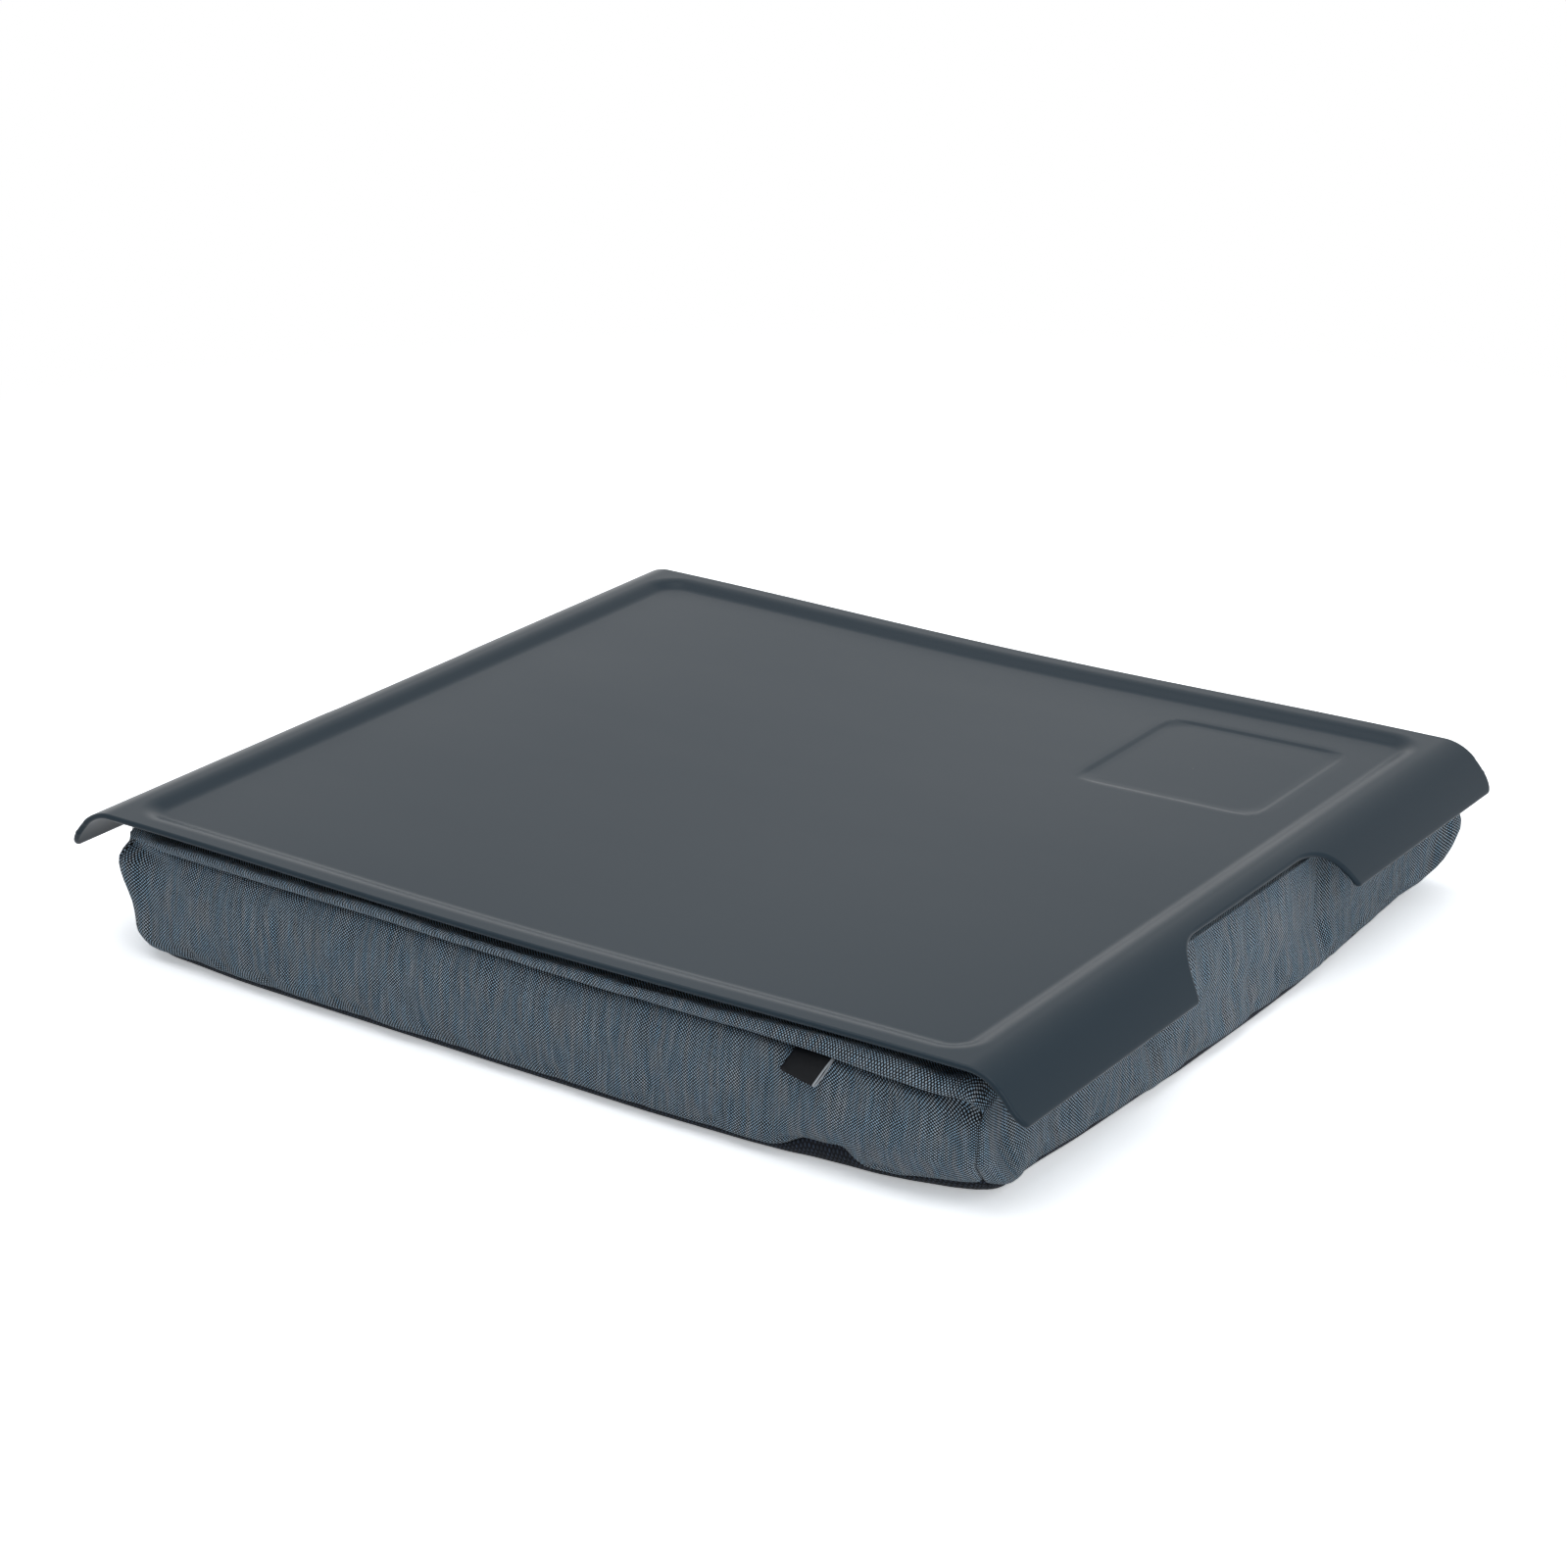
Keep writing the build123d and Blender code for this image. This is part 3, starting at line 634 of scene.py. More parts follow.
def worked(points):
    """Moves places on the cover as the filling, the sewing and the load have pushed and pulled them."""
    moved = points.copy()
    front_from, right_from, side_lift, low_height, clearance = (150, 180), (165, 198), 6.5, 22, 0.5
    for place, reach, push in hand_moves:
        gap = (points - np.array(place)) / np.array(reach)
        moved += np.exp(-0.5 * (gap ** 2).sum(-1, keepdims=True)) * np.array(push)
    x, y, z = points[..., 0], points[..., 1], points[..., 2]
    front, right = soft_step(-y, *front_from), soft_step(x, *right_from)

    # The top seam: how far it dips or rises along the front, and rises along the sides
    below_seam = np.clip((z - seam_low) / band_height, 0, 1) ** 1.5
    seam_share = np.where(z <= seam_high, below_seam, np.clip(1 - (z - seam_high) / 7, 0, 1))
    seam_lift = np.interp(
        x, (-209, -198, -180, -110, -60, 0, 40, 110, 145, 165, 178, 200),
        (4.5, 3.0, 2.0, 1.8, 1.2, 0.2, -0.4, 0.2, -1.6, -3.2, -3.9, -5.4),
    )
    moved[..., 2] += front * seam_share * seam_lift
    beside = soft_step(np.abs(x), 180, 200) * (1 - soft_step(np.abs(y), 110, 170))
    moved[..., 2] += beside * seam_share * side_lift

    # The foot: how far it is drawn out or in along the front and the right side
    low = np.clip(1 - z / low_height, 0, 1)
    front_foot = np.interp(
        x, (-195, -150, 60, 104, 122, 150, 170, 183, 196, 206), (-3, -5, -5.5, -3.7, -2, 0.5, 4, 7.5, 11, 13),
    )
    right_foot = np.interp(
        y, (-185, -150, -120, -94, -67, -40, 20, 56, 94, 136, 180),
        (3, 3.5, 4.4, 5.2, 6.4, 8.4, 9.5, 9.5, 7.7, 5.8, 5.5),
    )
    moved[..., 1] += front * low * front_foot
    moved[..., 0] += right * low * right_foot

    # The base seam: a ripple near the label, and a rise to the right corner
    off_floor = np.clip(z / 4, 0, 1) * np.clip(1 - np.abs(z - 5) / 16, 0, 1) ** 1.5
    ripple = soft_step(x, 119, 133) * (1 - soft_step(x, 147, 159))
    corner_rise = soft_step(x, 164, 190) * (1 - 0.75 * soft_step(x, 196, 206))
    ripple_height, corner_height = 6.5, 3.6
    moved[..., 2] += front * off_floor * (ripple * ripple_height + corner_rise * corner_height)
    moved[..., 1] += front * off_floor * ripple
    under_rim = rim_top - sheet - clearance
    ceiling = under_rim - pressed_depth(moved[..., 0], moved[..., 1]) - sag(moved[..., 0])
    moved[..., 2] = np.clip(moved[..., 2], 0.0, ceiling)
    return moved


# Grid lines of the fine panels, in cells, and of the bands, in millimetres up: closest beside the seams
near = np.array([0, 0.1, 0.22, 0.38, 0.6, 0.9, 1.3, 1.8])
lines_x = np.concatenate([near, np.arange(2.4, cells_x - 2.2, 0.6), cells_x - near[::-1]])
lines_y = np.concatenate([near, np.arange(2.4, cells_y - 2.2, 0.6), cells_y - near[::-1]])
heights = np.array([
    0, 0.5, 1.1, 1.9, 3.0, 4.6, 6.6, 9, 11.8, 14.9, 18.5, 22.5,
    26.5, 30.1, 33.2, 36, 38.4, 40.4, 42, 43.1, 43.9, 44.5, 45,
]) / band_height


def groove(points, distance, depth, width):
    """Draws the cloth in where it is stitched."""
    return points - outward(points) * (depth * np.exp(-(distance / width) ** 2))[..., None]


def welt(points, distance, height):
    """The seam allowance inside lifts the cloth a little beside the stitches."""
    return points + outward(points) * (height * np.exp(-((distance - 2.8) / 1.2) ** 2))[..., None]


# The rows of the turned-in edge: how deep each lies, and how far to its own panel's side
hem_rows = ((0.9, 0.12), (2.6, 0.2))


def hemmed(points, uv, borders):
    """Adds the turned-in edge along the chosen borders of a grid: rows that run into the cushion."""
    normal = outward(points)
    for axis, end in borders:
        at = 0 if end == 0 else -1
        edge, inwards = np.take(points, at, axis), -np.take(normal, at, axis)
        own_side = np.take(points, 1 if end == 0 else -2, axis) - edge
        own_side /= np.linalg.norm(own_side, axis=-1, keepdims=True)
        rows = [edge + inwards * deep + own_side * aside for deep, aside in hem_rows]
        rows_normal = [np.take(normal, at, axis)] * 2
        rows_uv = [np.take(uv, at, axis)] * 2
        if end == 0:
            rows = rows[::-1]
        extra, extra_uv, extra_normal = (np.stack(r, axis) for r in (rows, rows_uv, rows_normal))
        order = (lambda a, b: (b, a)) if end == 0 else (lambda a, b: (a, b))
        points = np.concatenate(order(points, extra), axis)
        uv = np.concatenate(order(uv, extra_uv), axis)
        normal = np.concatenate(order(normal, extra_normal), axis)
    return points, uv


def cloth_piece(name, points, uv, finish, node_name, borders, keep=None):
    """A sewn panel of the cover, with its edges turned in; keep picks the faces that a slit leaves."""
    points, uv = hemmed(points, uv, borders)
    index = np.arange(points[..., 0].size).reshape(points.shape[:2])
    faces = quads(index)
    if keep is not None:
        faces = faces[keep(points.reshape(-1, 3)[faces].mean(1))]
    made = piece(name, points, faces, finish, "cushion", [node_name], uv.reshape(-1, 2))
    return made


# Melange polyester: a plain weave of near-black warp and pale blue-grey weft. Its threads are 0.65 mm
# apart, coarser than real ones so that they show, and slubs run up the bands as darker and lighter streaks.
def weave(name, dark, pale, warm, thread, slub, shine):
    finish = begin(name, Roughness=0.85, Specular_IOR_Level=shine, Sheen_Weight=0.12, Sheen_Roughness=0.5)
    cloth = node(finish, "UVMap", uv_map="cloth")
    threads = node(finish, "VectorMath", {0: cloth, "Scale": 1 / thread}, operation="SCALE")
    wobble = node(finish, "TexNoise", {"Vector": threads, "Scale": 0.25, "Detail": 1.0})
    bent = node(finish, "VectorMath", {
        0: wobble.outputs["Color"], 1: (0.5, 0.5, 0.5), 2: threads,
    }, operation="MULTIPLY_ADD")
    split = node(finish, "SeparateXYZ", {0: bent})
    across = node(finish, "Math", {0: split, 1: math.pi}, operation="MULTIPLY")
    along = node(finish, "Math", {0: split.outputs[1], 1: math.pi}, operation="MULTIPLY")
    across = node(finish, "Math", {0: across}, operation="SINE")
    along = node(finish, "Math", {0: along}, operation="SINE")
    over = node(finish, "Math", {0: across, 1: along}, operation="MULTIPLY")
    # The yarns' own unevenness: each noise is long along its thread and short across it
    warp_places = node(finish, "Mapping", {"Vector": threads, "Scale": (0.9, 0.03, 1.0)})
    warp = node(finish, "TexNoise", {"Vector": warp_places, "Scale": 1.0, "Detail": 3.0})
    weft_places = node(finish, "Mapping", {"Vector": threads, "Scale": (0.08, 0.9, 1.0)})
    weft = node(finish, "TexNoise", {"Vector": weft_places, "Scale": 1.0, "Detail": 2.0})
    thick_places = node(finish, "Mapping", {"Vector": threads, "Scale": (0.28, 0.035, 1.0)})
    thick = node(finish, "TexNoise", {"Vector": thick_places, "Scale": 1.0, "Detail": 2.0})
    both = node(finish, "Math", {
        0: thick.outputs["Fac"], 1: 0.5, 2: warp.outputs["Fac"],
    }, operation="MULTIPLY_ADD")
    warp_part = node(finish, "Math", {0: both, 1: slub, 2: -0.75 * slub}, operation="MULTIPLY_ADD")
    weft_part = node(finish, "Math", {
        0: weft.outputs["Fac"], 1: 0.4 * slub, 2: -0.2 * slub,
    }, operation="MULTIPLY_ADD")
    slubs = node(finish, "Math", {0: warp_part, 1: weft_part}, operation="ADD")
    mixed = node(finish, "Math", {0: over, 1: slubs}, operation="ADD")
    share = node(finish, "MapRange", {
        "Value": mixed, "From Min": 0.16, "From Max": 0.46,
    }, interpolation_type="SMOOTHSTEP")
    drift = node(finish, "MapRange", {
        "Value": thick.outputs["Fac"], "From Min": 0.35, "From Max": 0.65,
    })
    pale = node(finish, "Mix", {0: drift, 6: pale, 7: warm}, data_type="RGBA").outputs[2]
    yarns = node(finish, "Mix", {0: share, 6: dark, 7: pale}, data_type="RGBA")
    crest_of_thread = node(finish, "Math", {0: over}, operation="ABSOLUTE")
    relief = node(finish, "Math", {
        0: warp.outputs["Fac"], 1: 0.6, 2: crest_of_thread,
    }, operation="MULTIPLY_ADD")
    bump = node(finish, "Bump", {"Height": relief, "Strength": 0.7, "Distance": 0.00025})
    feed(finish, Base_Color=yarns.outputs[2], Normal=bump)
    return finish


melange = weave(
    "polyester melange plain weave",
    colour("#03090F"), colour("#AED5F0"), colour("#C2CED8"), 0.00065, 0.75, 0.3,
)
navy = weave(
    "polyester base cloth navy", colour("#0B1019"), colour("#445266"), colour("#343C46"), 0.0009, 0.4, 0.25,
)

all_edges = ((0, 0), (0, 1), (1, 0), (1, 1))
flat_half_x, flat_half_y, flat_step_x, flat_step_y = 212, 189, 5.17, 5.1
stitch_width, welt_height, upright_groove, upright_width = 1.0, 0.45, 1.3, 0.9
gi, gj = np.meshgrid(lines_x, lines_y, indexing="ij")
depth, side, share = panel_rings(gi, gj)
for name, made_at, node_name, turned, finish, slot in (
    ("top_panel", crown_at, "cover_top", False, melange, "cover_fabric"),
    ("base_panel", base_at, "cover_base", True, navy, "base_fabric"),
):
    moved = swell[panel_index["base" if turned else "crown"]]
    moved = between(between(moved, lines_x).swapaxes(0, 1), lines_y).swapaxes(0, 1)
    points = worked(made_at(gi, gj) + moved)
    flat_corner = 8.0 * (1 - np.clip(depth / 20, 0, 1))
    flat_x, flat_y = ring(
        side, share, flat_half_x - depth * flat_step_x, flat_half_y - depth * flat_step_y, flat_corner,
    )
    uv = np.stack([flat_x, flat_y], -1)
    if turned:
        points, uv = points[:, ::-1], uv[:, ::-1]
    stitched = 1.0 if turned else open_seam(side, share)
    points = groove(points, (depth[:, ::-1] if turned else depth) * cell, stitched, stitch_width)
    cloth_piece(name, points, uv, finish, node_name, all_edges)

zip_y, zip_z, zip_reach = cushion_y, (seam_low + seam_high) / 2, 122
slit_half_length, slit_half_height = 110.5, 4.0


def beside_slit(middle):
    """True for the faces of the back band that stay when the slit for the zip is cut."""
    return (np.abs(middle[:, 0]) > slit_half_length) | (np.abs(middle[:, 2] - zip_z) > slit_half_height)


band_moves = swell[band_index]
pucker_height, pucker_reach, slack_height, beyond_zip, band_apart = 0.35, 5.0, 0.35, (124, 140), 700
for number, side_name in enumerate(("front", "right", "back", "left")):
    places = lines_x if number % 2 == 0 else lines_y
    count = cells_x if number % 2 == 0 else cells_y
    share, rise = np.meshgrid(2 * places / count - 1, heights, indexing="ij")
    moved = between(band_moves.swapaxes(0, 1), side_starts[number] + places, wrap=True)
    moved = between(moved.swapaxes(0, 1), heights * band_cells).swapaxes(0, 1)
    points = band_at(number, share, rise) + moved
    run = share * count * cell / 2
    to_seam = np.minimum(rise, 1 - rise) * band_height
    pucker = waves(run + 400 * number, 1.3 + number) * np.exp(-to_seam / pucker_reach) * pucker_height
    slack = waves(run * 0.45 + 170 * number, 4.0 + number) * np.sin(math.pi * rise) * slack_height
    if side_name == "back":
        slack = slack * soft_step(np.abs(run), *beyond_zip)
    points = worked(points + outward(points) * (pucker + slack)[..., None])
    stitched = np.where(rise > 0.5, open_seam(number, share), 1.0)
    points = groove(welt(points, to_seam, welt_height * stitched), to_seam, stitched, stitch_width)
    to_corner = (1 - np.abs(share)) * count * cell / 2
    points = groove(points, to_corner, upright_groove, upright_width)
    uv = np.stack([run - strayed(number, share, rise) + band_apart * number, rise * band_height], -1)
    cloth_piece(
        side_name + "_band", points, uv, melange, "cover_" + side_name + "_band",
        all_edges, beside_slit if side_name == "back" else None,
    )


# Hook and loop tape: four black nylon pairs hold the tray on the cushion, the hooks glued under the tray
# and the loops sewn on the top panel. Both are woven tapes with bent bristles or soft loops standing on them.
def fibres(path, radius, places, turns):
    """Bent fibres of one shape, standing on places and turned about the upright."""
    path = np.array(path, float)
    way = np.gradient(path, axis=0)
    way /= np.linalg.norm(way, axis=1, keepdims=True)
    side_on = np.stack([-way[:, 1], way[:, 0]], 1)
    angles = np.radians([45, 135, 225, 315])
    flat = path[:, None] + radius * np.cos(angles)[None, :, None] * side_on[:, None]
    deep = np.broadcast_to(radius * np.sin(angles), flat.shape[:2])
    local = np.stack([flat[..., 0], deep, flat[..., 1]], -1).reshape(-1, 3)
    c, s = np.cos(turns)[:, None], np.sin(turns)[:, None]
    x = local[None, :, 0] * c - local[None, :, 1] * s
    y = local[None, :, 0] * s + local[None, :, 1] * c
    points = np.stack([x, y, np.broadcast_to(local[None, :, 2], x.shape)], -1) + places[:, None]
    index = np.arange(len(local)).reshape(-1, 4)
    faces = np.concatenate([wrapped(index), index[-1:], index[:1, ::-1]])
    faces = faces[None] + (np.arange(len(places)) * len(local))[:, None, None]
    return points.reshape(-1, 3), faces.reshape(-1, 4)


def pad(centre, half_x, half_y, corner, low, high):
    """A thin closed pad with round corners that follows the sag of the tray."""
    i, j = np.meshgrid(np.arange(25.0), np.arange(13.0), indexing="ij")
    depth, side, share = panel_rings(i, j, 24, 12)
    rounding = corner * np.clip(1 - depth / 5, 0, 1)
    x, y = ring(side, share, half_x * (1 - depth / 12), half_y * (1 - depth / 6), rounding)
    x, y = x + centre[0], y + centre[1]
    top, bottom = np.stack([x, y, high - sag(x)], -1), np.stack([x, y, low - sag(x)], -1)
    return np.concatenate([top.reshape(-1, 3), bottom.reshape(-1, 3)]), sheet_faces(x.shape)


def shade(finish, pattern, low, high, relief=None, strength=0.0, depth=0.0, sunken=False, **sources):
    """A surface in two shades mixed by a pattern, with a relief of some strength and depth in metres."""
    if relief is not None:
        sources["Normal"] = node(finish, "Bump", {
            "Height": relief, "Strength": strength, "Distance": depth,
        }, invert=sunken)
    shades = node(finish, "Mix", {0: pattern, 6: colour(low), 7: colour(high)}, data_type="RGBA")
    feed(finish, Base_Color=shades.outputs[2], **sources)


def nylon(name, deep, light, pitch, height):
    """Black nylon fibre: a faint silky shine on the fibres and a ribbed ground."""
    finish = begin(name, Roughness=0.6, IOR=1.53, Specular_IOR_Level=0.4, Sheen_Weight=0.1)
    place = node(finish, "TexCoord").outputs["Object"]
    ribs = node(finish, "TexWave", {
        "Vector": place, "Scale": 1 / pitch / 3, "Distortion": 1.5, "Detail": 2.0,
    }, bands_direction="X")
    fuzz = node(finish, "TexNoise", {"Vector": place, "Scale": 1 / pitch, "Detail": 3.0})
    relief = node(finish, "Math", {0: ribs.outputs["Fac"], 1: fuzz.outputs["Fac"]}, operation="ADD")
    shade(finish, fuzz.outputs["Fac"], deep, light, relief, 0.6, height)
    return finish


hook_nylon = nylon("nylon hook tape black", "#0E0F11", "#24262A", 0.0008, 0.0001)
loop_nylon = nylon("nylon loop tape black", "#121316", "#2C2E32", 0.0006, 0.00015)
chance = np.random.default_rng(11)
hook_path = ((0, 0), (0, 0.42), (0.06, 0.58), (0.22, 0.66), (0.38, 0.58), (0.42, 0.44))
loop_path = ((-0.32, 0), (-0.36, 0.3), (-0.2, 0.58), (0.05, 0.66), (0.28, 0.5), (0.34, 0.25), (0.3, 0))
pad_x, pad_y, pad_half_x, pad_half_y, pad_corner = 124.5, 116.5, 30, 15, 4
fibre_pitch, fibre_radius, fibre_margin, astray, fibre_twist = 1.6, 0.11, 2, 0.25, 0.3
backing, sunk = 0.5, 0.2
gx, gy = np.meshgrid(
    np.arange(fibre_margin - pad_half_x, pad_half_x - fibre_margin + 0.1, fibre_pitch),
    np.arange(fibre_margin - pad_half_y, pad_half_y - fibre_margin + 0.1, fibre_pitch), indexing="ij",
)
for place_name, x_side, y_side in (
    ("front_left", -1, -1), ("front_right", 1, -1), ("back_left", -1, 1), ("back_right", 1, 1),
):
    centre = (pad_x * x_side, pad_y * y_side)
    for kind, body, slot, finish, path, low, high, stands in (
        ("hook", "tray", "hook_tape", hook_nylon, hook_path, floor_under - backing, floor_under, -1),
        ("loop", "cushion", "loop_tape", loop_nylon, loop_path, crown_top - sunk, crown_top + backing, 1),
    ):
        spots = np.stack([gx.ravel(), gy.ravel()], 1) + chance.uniform(-astray, astray, (gx.size, 2)) + centre
        root = (low if stands < 0 else high) - sag(spots[:, 0])
        turns = chance.uniform(-fibre_twist, fibre_twist, len(spots)) + (np.arange(len(spots)) % 2) * math.pi
        if kind == "loop":
            turns = chance.uniform(0, math.pi, len(spots))
        bristle = [(a, b * stands) for a, b in path]
        fibre_points, fibre_faces = fibres(bristle, fibre_radius, np.column_stack([spots, root]), turns)
        if stands < 0:
            fibre_faces = fibre_faces[:, ::-1]
        pad_points, pad_faces = pad(centre, pad_half_x, pad_half_y, pad_corner, low, high)
        points = np.concatenate([pad_points, fibre_points])
        faces = np.concatenate([pad_faces, fibre_faces + len(pad_points)])
        patch = kind + "_patch_" + place_name
        piece(kind + "_tape_" + place_name, points, faces, finish, body, [patch])


# Label: a bare black satin ribbon, folded once and caught in the front top seam, so it leans out and
# twists. Its right selvage is a paler thread.
label_x, label_y, label_z = 137.5, -183.6, 47.9
fold = np.array([
    (0.15, 0), (0.1, 3), (0.05, 6), (0.1, 9), (0.2, 11.2), (0.45, 11.85), (0.85, 12.0), (1.2, 11.7),
    (1.35, 11.0), (1.5, 9), (1.6, 6), (1.3, 3), (0.7, 0),
])
half_ribbon, half_thick, fold_down = 8, 0.13, 12
stretch = np.linspace(0, len(fold) - 1, 49)
fold = between(fold[:, None], stretch)[:, 0]
fold_way = np.gradient(fold, axis=0)
fold_way /= np.linalg.norm(fold_way, axis=1, keepdims=True)
fold_side = np.stack([-fold_way[:, 1], fold_way[:, 0]], 1)
shares = np.linspace(-1, 1, 17)


def ribbon(layer):
    """One face of the ribbon, from the seam round the fold and back."""
    depth, down = (fold + fold_side * layer).T
    a, down = np.meshgrid(shares, down, indexing="ij")
    depth = np.broadcast_to(depth, a.shape)
    lean_middle, lean_change, taper, tilt = 53, 9, 1.4, 0.6
    lean = np.radians(lean_middle - lean_change * a) * (0.75 + 0.25 * np.clip(down / fold_down, 0, 1.1))
    x = label_x + half_ribbon * a - taper * (a + 1) * (down / fold_down) - 0.15 * depth
    y = label_y - down * np.sin(lean) - depth * np.cos(lean)
    z = label_z - down * np.cos(lean) + depth * np.sin(lean) - tilt * a
    return np.stack([x, y, z], -1)


outer, inner_face = ribbon(half_thick), ribbon(-half_thick)
travel = np.concatenate([[0], np.cumsum(np.linalg.norm(np.diff(fold, axis=0), axis=1))])
label_uv = np.stack(np.meshgrid(shares * half_ribbon, travel, indexing="ij"), -1).reshape(-1, 2)
# Woven satin: a low silky shine, with ribs every 0.4 mm across the ribbon
satin = begin("polyester satin ribbon black", Roughness=0.5, Specular_IOR_Level=0.2)
cloth = node(satin, "UVMap", uv_map="cloth")
split = node(satin, "SeparateXYZ", {0: cloth})
ribs = node(satin, "Math", {0: split.outputs[1], 1: 2 * math.pi / 0.0004}, operation="MULTIPLY")
ribs = node(satin, "Math", {0: ribs}, operation="SINE")
streaks = node(satin, "Mapping", {"Vector": cloth, "Scale": (500, 6000, 1)})
streaks = node(satin, "TexNoise", {"Vector": streaks, "Scale": 1.0, "Detail": 2.0})
shades = node(satin, "Mix", {
    0: streaks.outputs["Fac"], 6: colour("#04060A"), 7: colour("#0C1016"),
}, data_type="RGBA")
selvage = node(satin, "MapRange", {
    "Value": split, "From Min": 0.0072, "From Max": 0.0075,
})
edged = node(satin, "Mix", {
    0: selvage, 6: shades.outputs[2], 7: colour("#B9BEC3"),
}, data_type="RGBA")
bump = node(satin, "Bump", {"Height": ribs, "Strength": 0.3, "Distance": 0.00006})
feed(satin, Base_Color=edged.outputs[2], Normal=bump)
piece(
    "label_ribbon", np.concatenate([outer.reshape(-1, 3), inner_face.reshape(-1, 3)]),
    sheet_faces(outer.shape[:2]), satin, "cushion", ["label"],
    np.concatenate([label_uv, label_uv]),
)


# Zip in the back band: herringbone tapes sewn over the slit, nylon coils, two kinds of stop, and a zinc
# slider with its pull. The metal pieces and stops are the CAD solids with their edges rounded.
tape_weave = weave(
    "polyester zip tape herringbone",
    colour("#0D0F12"), colour("#2A2E34"), colour("#2E2F32"), 0.0008, 0.3, 0.3,
)
tape_inner, tape_outer, tape_thick, tape_lift = 0.8, 11.8, 0.5, 0.02
tx, ta = np.meshgrid(
    lines(-zip_reach, (zip_reach, 2)), lines(tape_inner, (tape_outer, 0.5)), indexing="ij",
)
for side_name, up in (("upper", 1), ("lower", -1)):
    wave = 0.08 * waves(tx * 0.6, 2 + up) * soft_step(ta, 6, 11.8)
    front_y = zip_y + tape_thick + wave - 0.1 * soft_step(ta, 11.2, tape_outer)
    front_face = np.stack([tx, front_y, zip_z + up * ta], -1)
    back_face = np.stack([tx, zip_y + tape_lift + 0 * tx, zip_z + up * ta], -1)
    faces = sheet_faces(tx.shape)
    if up > 0:
        faces = faces[:, ::-1]
    uv = np.stack([ta, tx + ta * up], -1).reshape(-1, 2)
    piece(
        "zip_tape_woven_" + side_name, np.concatenate([front_face.reshape(-1, 3), back_face.reshape(-1, 3)]),
        faces, tape_weave, "cushion", ["zip_tape_" + side_name], np.concatenate([uv, uv]),
    )


def beads_of(length, width, height, places, tilt=0.0):
    """Short rounded lengths of thread or monofilament lying on the back face."""
    along = np.array([-1, -0.8, -0.4, 0.4, 0.8, 1]) * length / 2
    thick = np.array([0.25, 0.8, 1, 1, 0.8, 0.25])
    angles = np.linspace(0, 2 * math.pi, 8, endpoint=False)
    rows, sides = len(along), len(angles)
    count = rows * sides
    a = np.broadcast_to(along[:, None], (rows, sides))
    b, c = thick[:, None] * np.cos(angles) * width / 2, thick[:, None] * np.sin(angles) * height / 2
    tilted_x, tilted_z = a * math.cos(tilt) - b * math.sin(tilt), a * math.sin(tilt) + b * math.cos(tilt)
    local = np.stack([tilted_x, c, tilted_z], -1).reshape(-1, 3)
    ends = [list(range(sides - 1, -1, -1)), list(range(count - sides, count))]
    faces = [list(f) for f in wrapped(np.arange(count).reshape(rows, sides))] + ends
    points = (local[None] + np.asarray(places)[:, None]).reshape(-1, 3)
    return points, [[v + count * n for v in f] for n in range(len(places)) for f in faces]


stitch_pitch, stitch_rows, stitch_lift, sewn_from, sewn_to = 3.3, (7.2, 10.4), 0.56, -119.5, 120
stitch_places = [
    (x, zip_y + stitch_lift, zip_z + up * across_tape)
    for up in (1, -1) for across_tape in stitch_rows for x in np.arange(sewn_from, sewn_to, stitch_pitch)
]
stitches, stitch_faces = beads_of(length=2.7, width=0.45, height=0.4, places=stitch_places)
# Twisted polyester thread: a faint diagonal twist every 0.7 mm, a little lighter than the tape
sewing_thread = begin("polyester sewing thread", Roughness=0.55, Specular_IOR_Level=0.4, Sheen_Weight=0.1)
place = node(sewing_thread, "TexCoord").outputs["Object"]
twist = node(sewing_thread, "TexWave", {
    "Vector": place, "Scale": 900.0, "Distortion": 0.5,
}, bands_direction="DIAGONAL")
shade(sewing_thread, twist.outputs["Fac"], "#1A1D21", "#3B4149", twist.outputs["Fac"], 0.5, 0.00008)
piece("zip_stitching", stitches, stitch_faces, sewing_thread, "cushion")

# Drawn nylon: smooth and black, glossier where the slider has worn it
coil_nylon = begin("nylon zip coil black", Roughness=0.35, IOR=1.53)
place = node(coil_nylon, "TexCoord").outputs["Object"]
worn = node(coil_nylon, "TexNoise", {"Vector": place, "Scale": 1 / 0.003, "Detail": 3.0})
rough = node(coil_nylon, "MapRange", {"Value": worn.outputs["Fac"], "To Min": 0.28, "To Max": 0.45})
shade(coil_nylon, worn.outputs["Fac"], "#0C0D0F", "#1F2226", Roughness=rough)
coil_pitch, coil_from, coil_to, coil_lift, tooth_middle, tooth_tilt = 1.26, -109.3, 109.0, 1.12, 1.6, 0.12
for side_name, up in (("upper", 1), ("lower", -1)):
    offset = 0.0 if up > 0 else coil_pitch / 2
    tooth_x = np.arange(coil_from, coil_to, coil_pitch) + offset
    tooth_places = [(x, zip_y + coil_lift, zip_z + up * tooth_middle) for x in tooth_x]
    teeth, teeth_faces = beads_of(
        length=2.1, width=0.95, height=1.3, places=tooth_places, tilt=math.pi / 2 + tooth_tilt * up,
    )
    piece(
        "zip_coil_teeth_" + side_name, teeth, teeth_faces, coil_nylon, "cushion",
        ["zip_coil_" + side_name],
    )

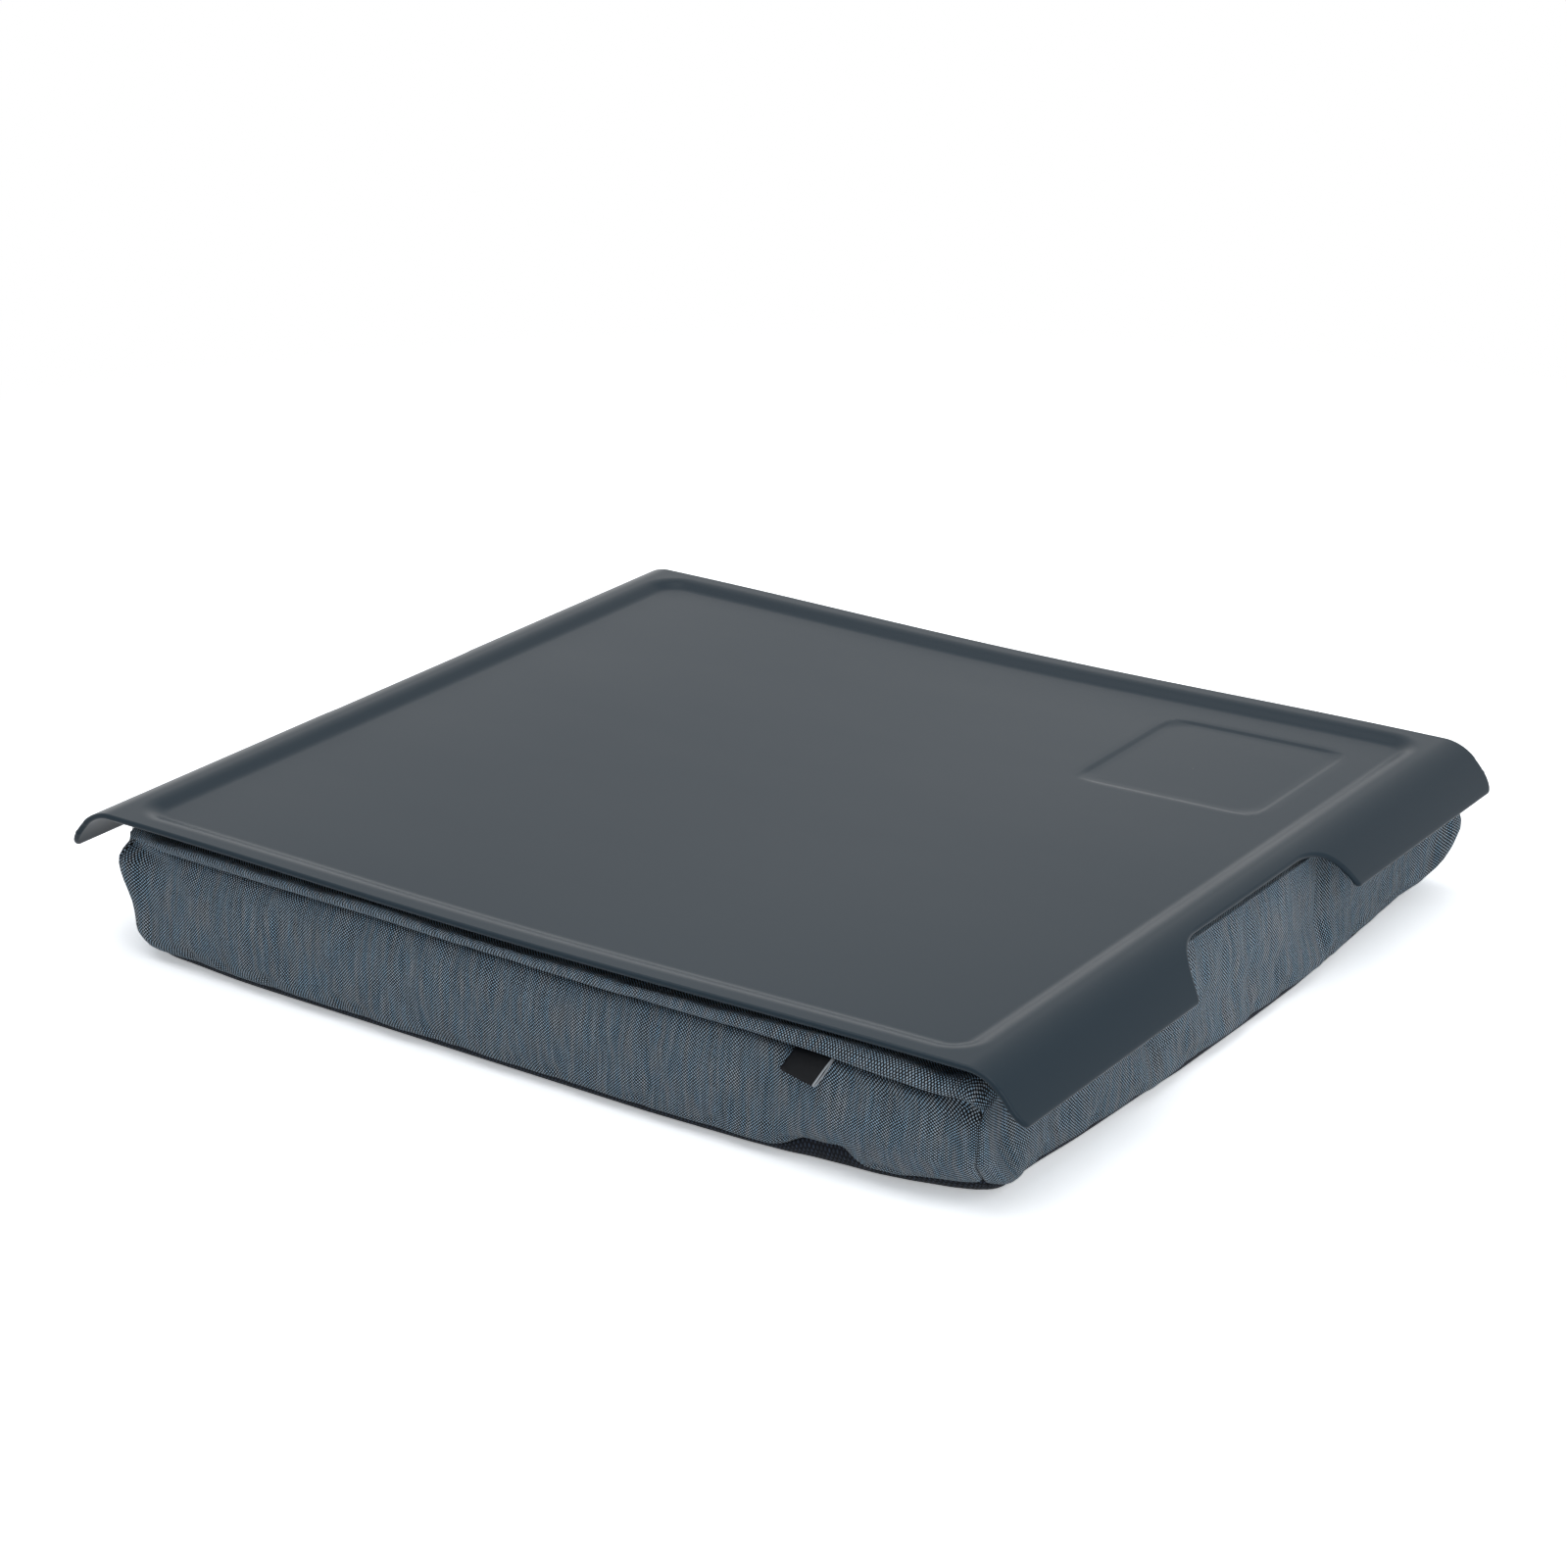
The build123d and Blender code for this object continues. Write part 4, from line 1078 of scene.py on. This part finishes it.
# Die-cast zinc with a gunmetal finish: a satin metal, mottled every 1.2 mm by the casting
zinc = begin("zinc die cast gunmetal", Metallic=1.0, Roughness=0.32)
place = node(zinc, "TexCoord").outputs["Object"]
cast = node(zinc, "TexNoise", {"Vector": place, "Scale": 1 / 0.0012, "Detail": 4.0})
rough = node(zinc, "MapRange", {"Value": cast.outputs["Fac"], "To Min": 0.24, "To Max": 0.42})
shade(zinc, cast.outputs["Fac"], "#4A4D52", "#70747A", cast.outputs["Fac"], 0.15, 0.00005, Roughness=rough)
for name in ("zip_top_stops", "zip_bottom_stop", "zip_slider", "zip_pull"):
    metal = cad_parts[name]
    metal.data.materials.clear()
    metal.data.materials.append(zinc)
    eased = metal.modifiers.new("eased edges", "BEVEL")
    eased.width, eased.segments, eased.limit_method = 0.00016, 2, "ANGLE"


# Inner bag and filling: a thin white cotton bag in two halves, sewn together half way up and full of foam
# beads. Neither shows while the cover is closed.
def vertex_normals(points, faces):
    """Unit normals at the points of a mesh of quads."""
    across = np.cross(points[faces[:, 2]] - points[faces[:, 0]], points[faces[:, 3]] - points[faces[:, 1]])
    total = np.zeros_like(points)
    for k in range(4):
        np.add.at(total, faces[:, k], across)
    return total / np.linalg.norm(total, axis=1, keepdims=True)


cover_shape = worked(coarse_points + swell)
inwards = vertex_normals(cover_shape, coarse_faces)
# Cotton in a plain weave, matt and white, its threads drawn 0.75 mm apart
cotton = begin("cotton lining white", Roughness=0.9, Specular_IOR_Level=0.2, Sheen_Weight=0.1)
place = node(cotton, "TexCoord").outputs["Object"]
warp = node(cotton, "TexWave", {"Vector": place, "Scale": 420.0}, bands_direction="X")
weft = node(cotton, "TexWave", {"Vector": place, "Scale": 420.0}, bands_direction="Y")
grid = node(cotton, "Math", {0: warp.outputs["Fac"], 1: weft.outputs["Fac"]}, operation="MULTIPLY")
shade(cotton, grid, "#B9B6AE", "#DAD7CF", grid, 0.4, 0.0001)
bag_inset, bag_round, bead_inset = 2.6, 0.7, 1.6
bag = cover_shape - inwards * bag_inset
above = soft_step(bag[:, 2], 37, 45)
for axis, limit in ((0, 199), (1, 176), (2, 49 - sag(bag[:, 0]))):
    far = np.abs(bag[:, axis]) - limit
    bag[:, axis] -= np.sign(bag[:, axis]) * above * bag_round * np.clip(far, 0, None)
middle = bag[coarse_faces].mean(1)[:, 2]
for half, chosen in (("upper", middle > zip_z), ("lower", middle <= zip_z)):
    used, renumbered = np.unique(coarse_faces[chosen], return_inverse=True)
    made = piece(
        "inner_bag_" + half, bag[used], renumbered.reshape(-1, 4), cotton, "cushion",
        ["liner_" + half],
    )

# Expanded polystyrene: matt white beads of 3 mm pressed together, with painted shade that greys each bead
# towards the hollows between beads
foam = begin("expanded polystyrene beads", Roughness=0.7, IOR=1.5, Subsurface_Weight=0.1)
place = node(foam, "TexCoord").outputs["Object"]
beads = node(foam, "TexVoronoi", {"Vector": place, "Scale": 1 / 0.003})
hollow_and_painted_shade = beads.outputs["Distance"]
# Painted shade: the colour greys from each bead's middle towards the hollows between beads, where the relief
# sinks
shade(foam, hollow_and_painted_shade, "#F0F0EE", "#C8C8C4", hollow_and_painted_shade, 0.8, 0.001, sunken=True)
lumps = 0.4 * waves(cover_shape[:, 0] * 1.7 + cover_shape[:, 1] * 1.3, 0.4)[:, None]
made = piece(
    "foam_bead_filling", bag - inwards * (bead_inset + lumps), coarse_faces, foam, "cushion",
    ["bead_filling"],
)
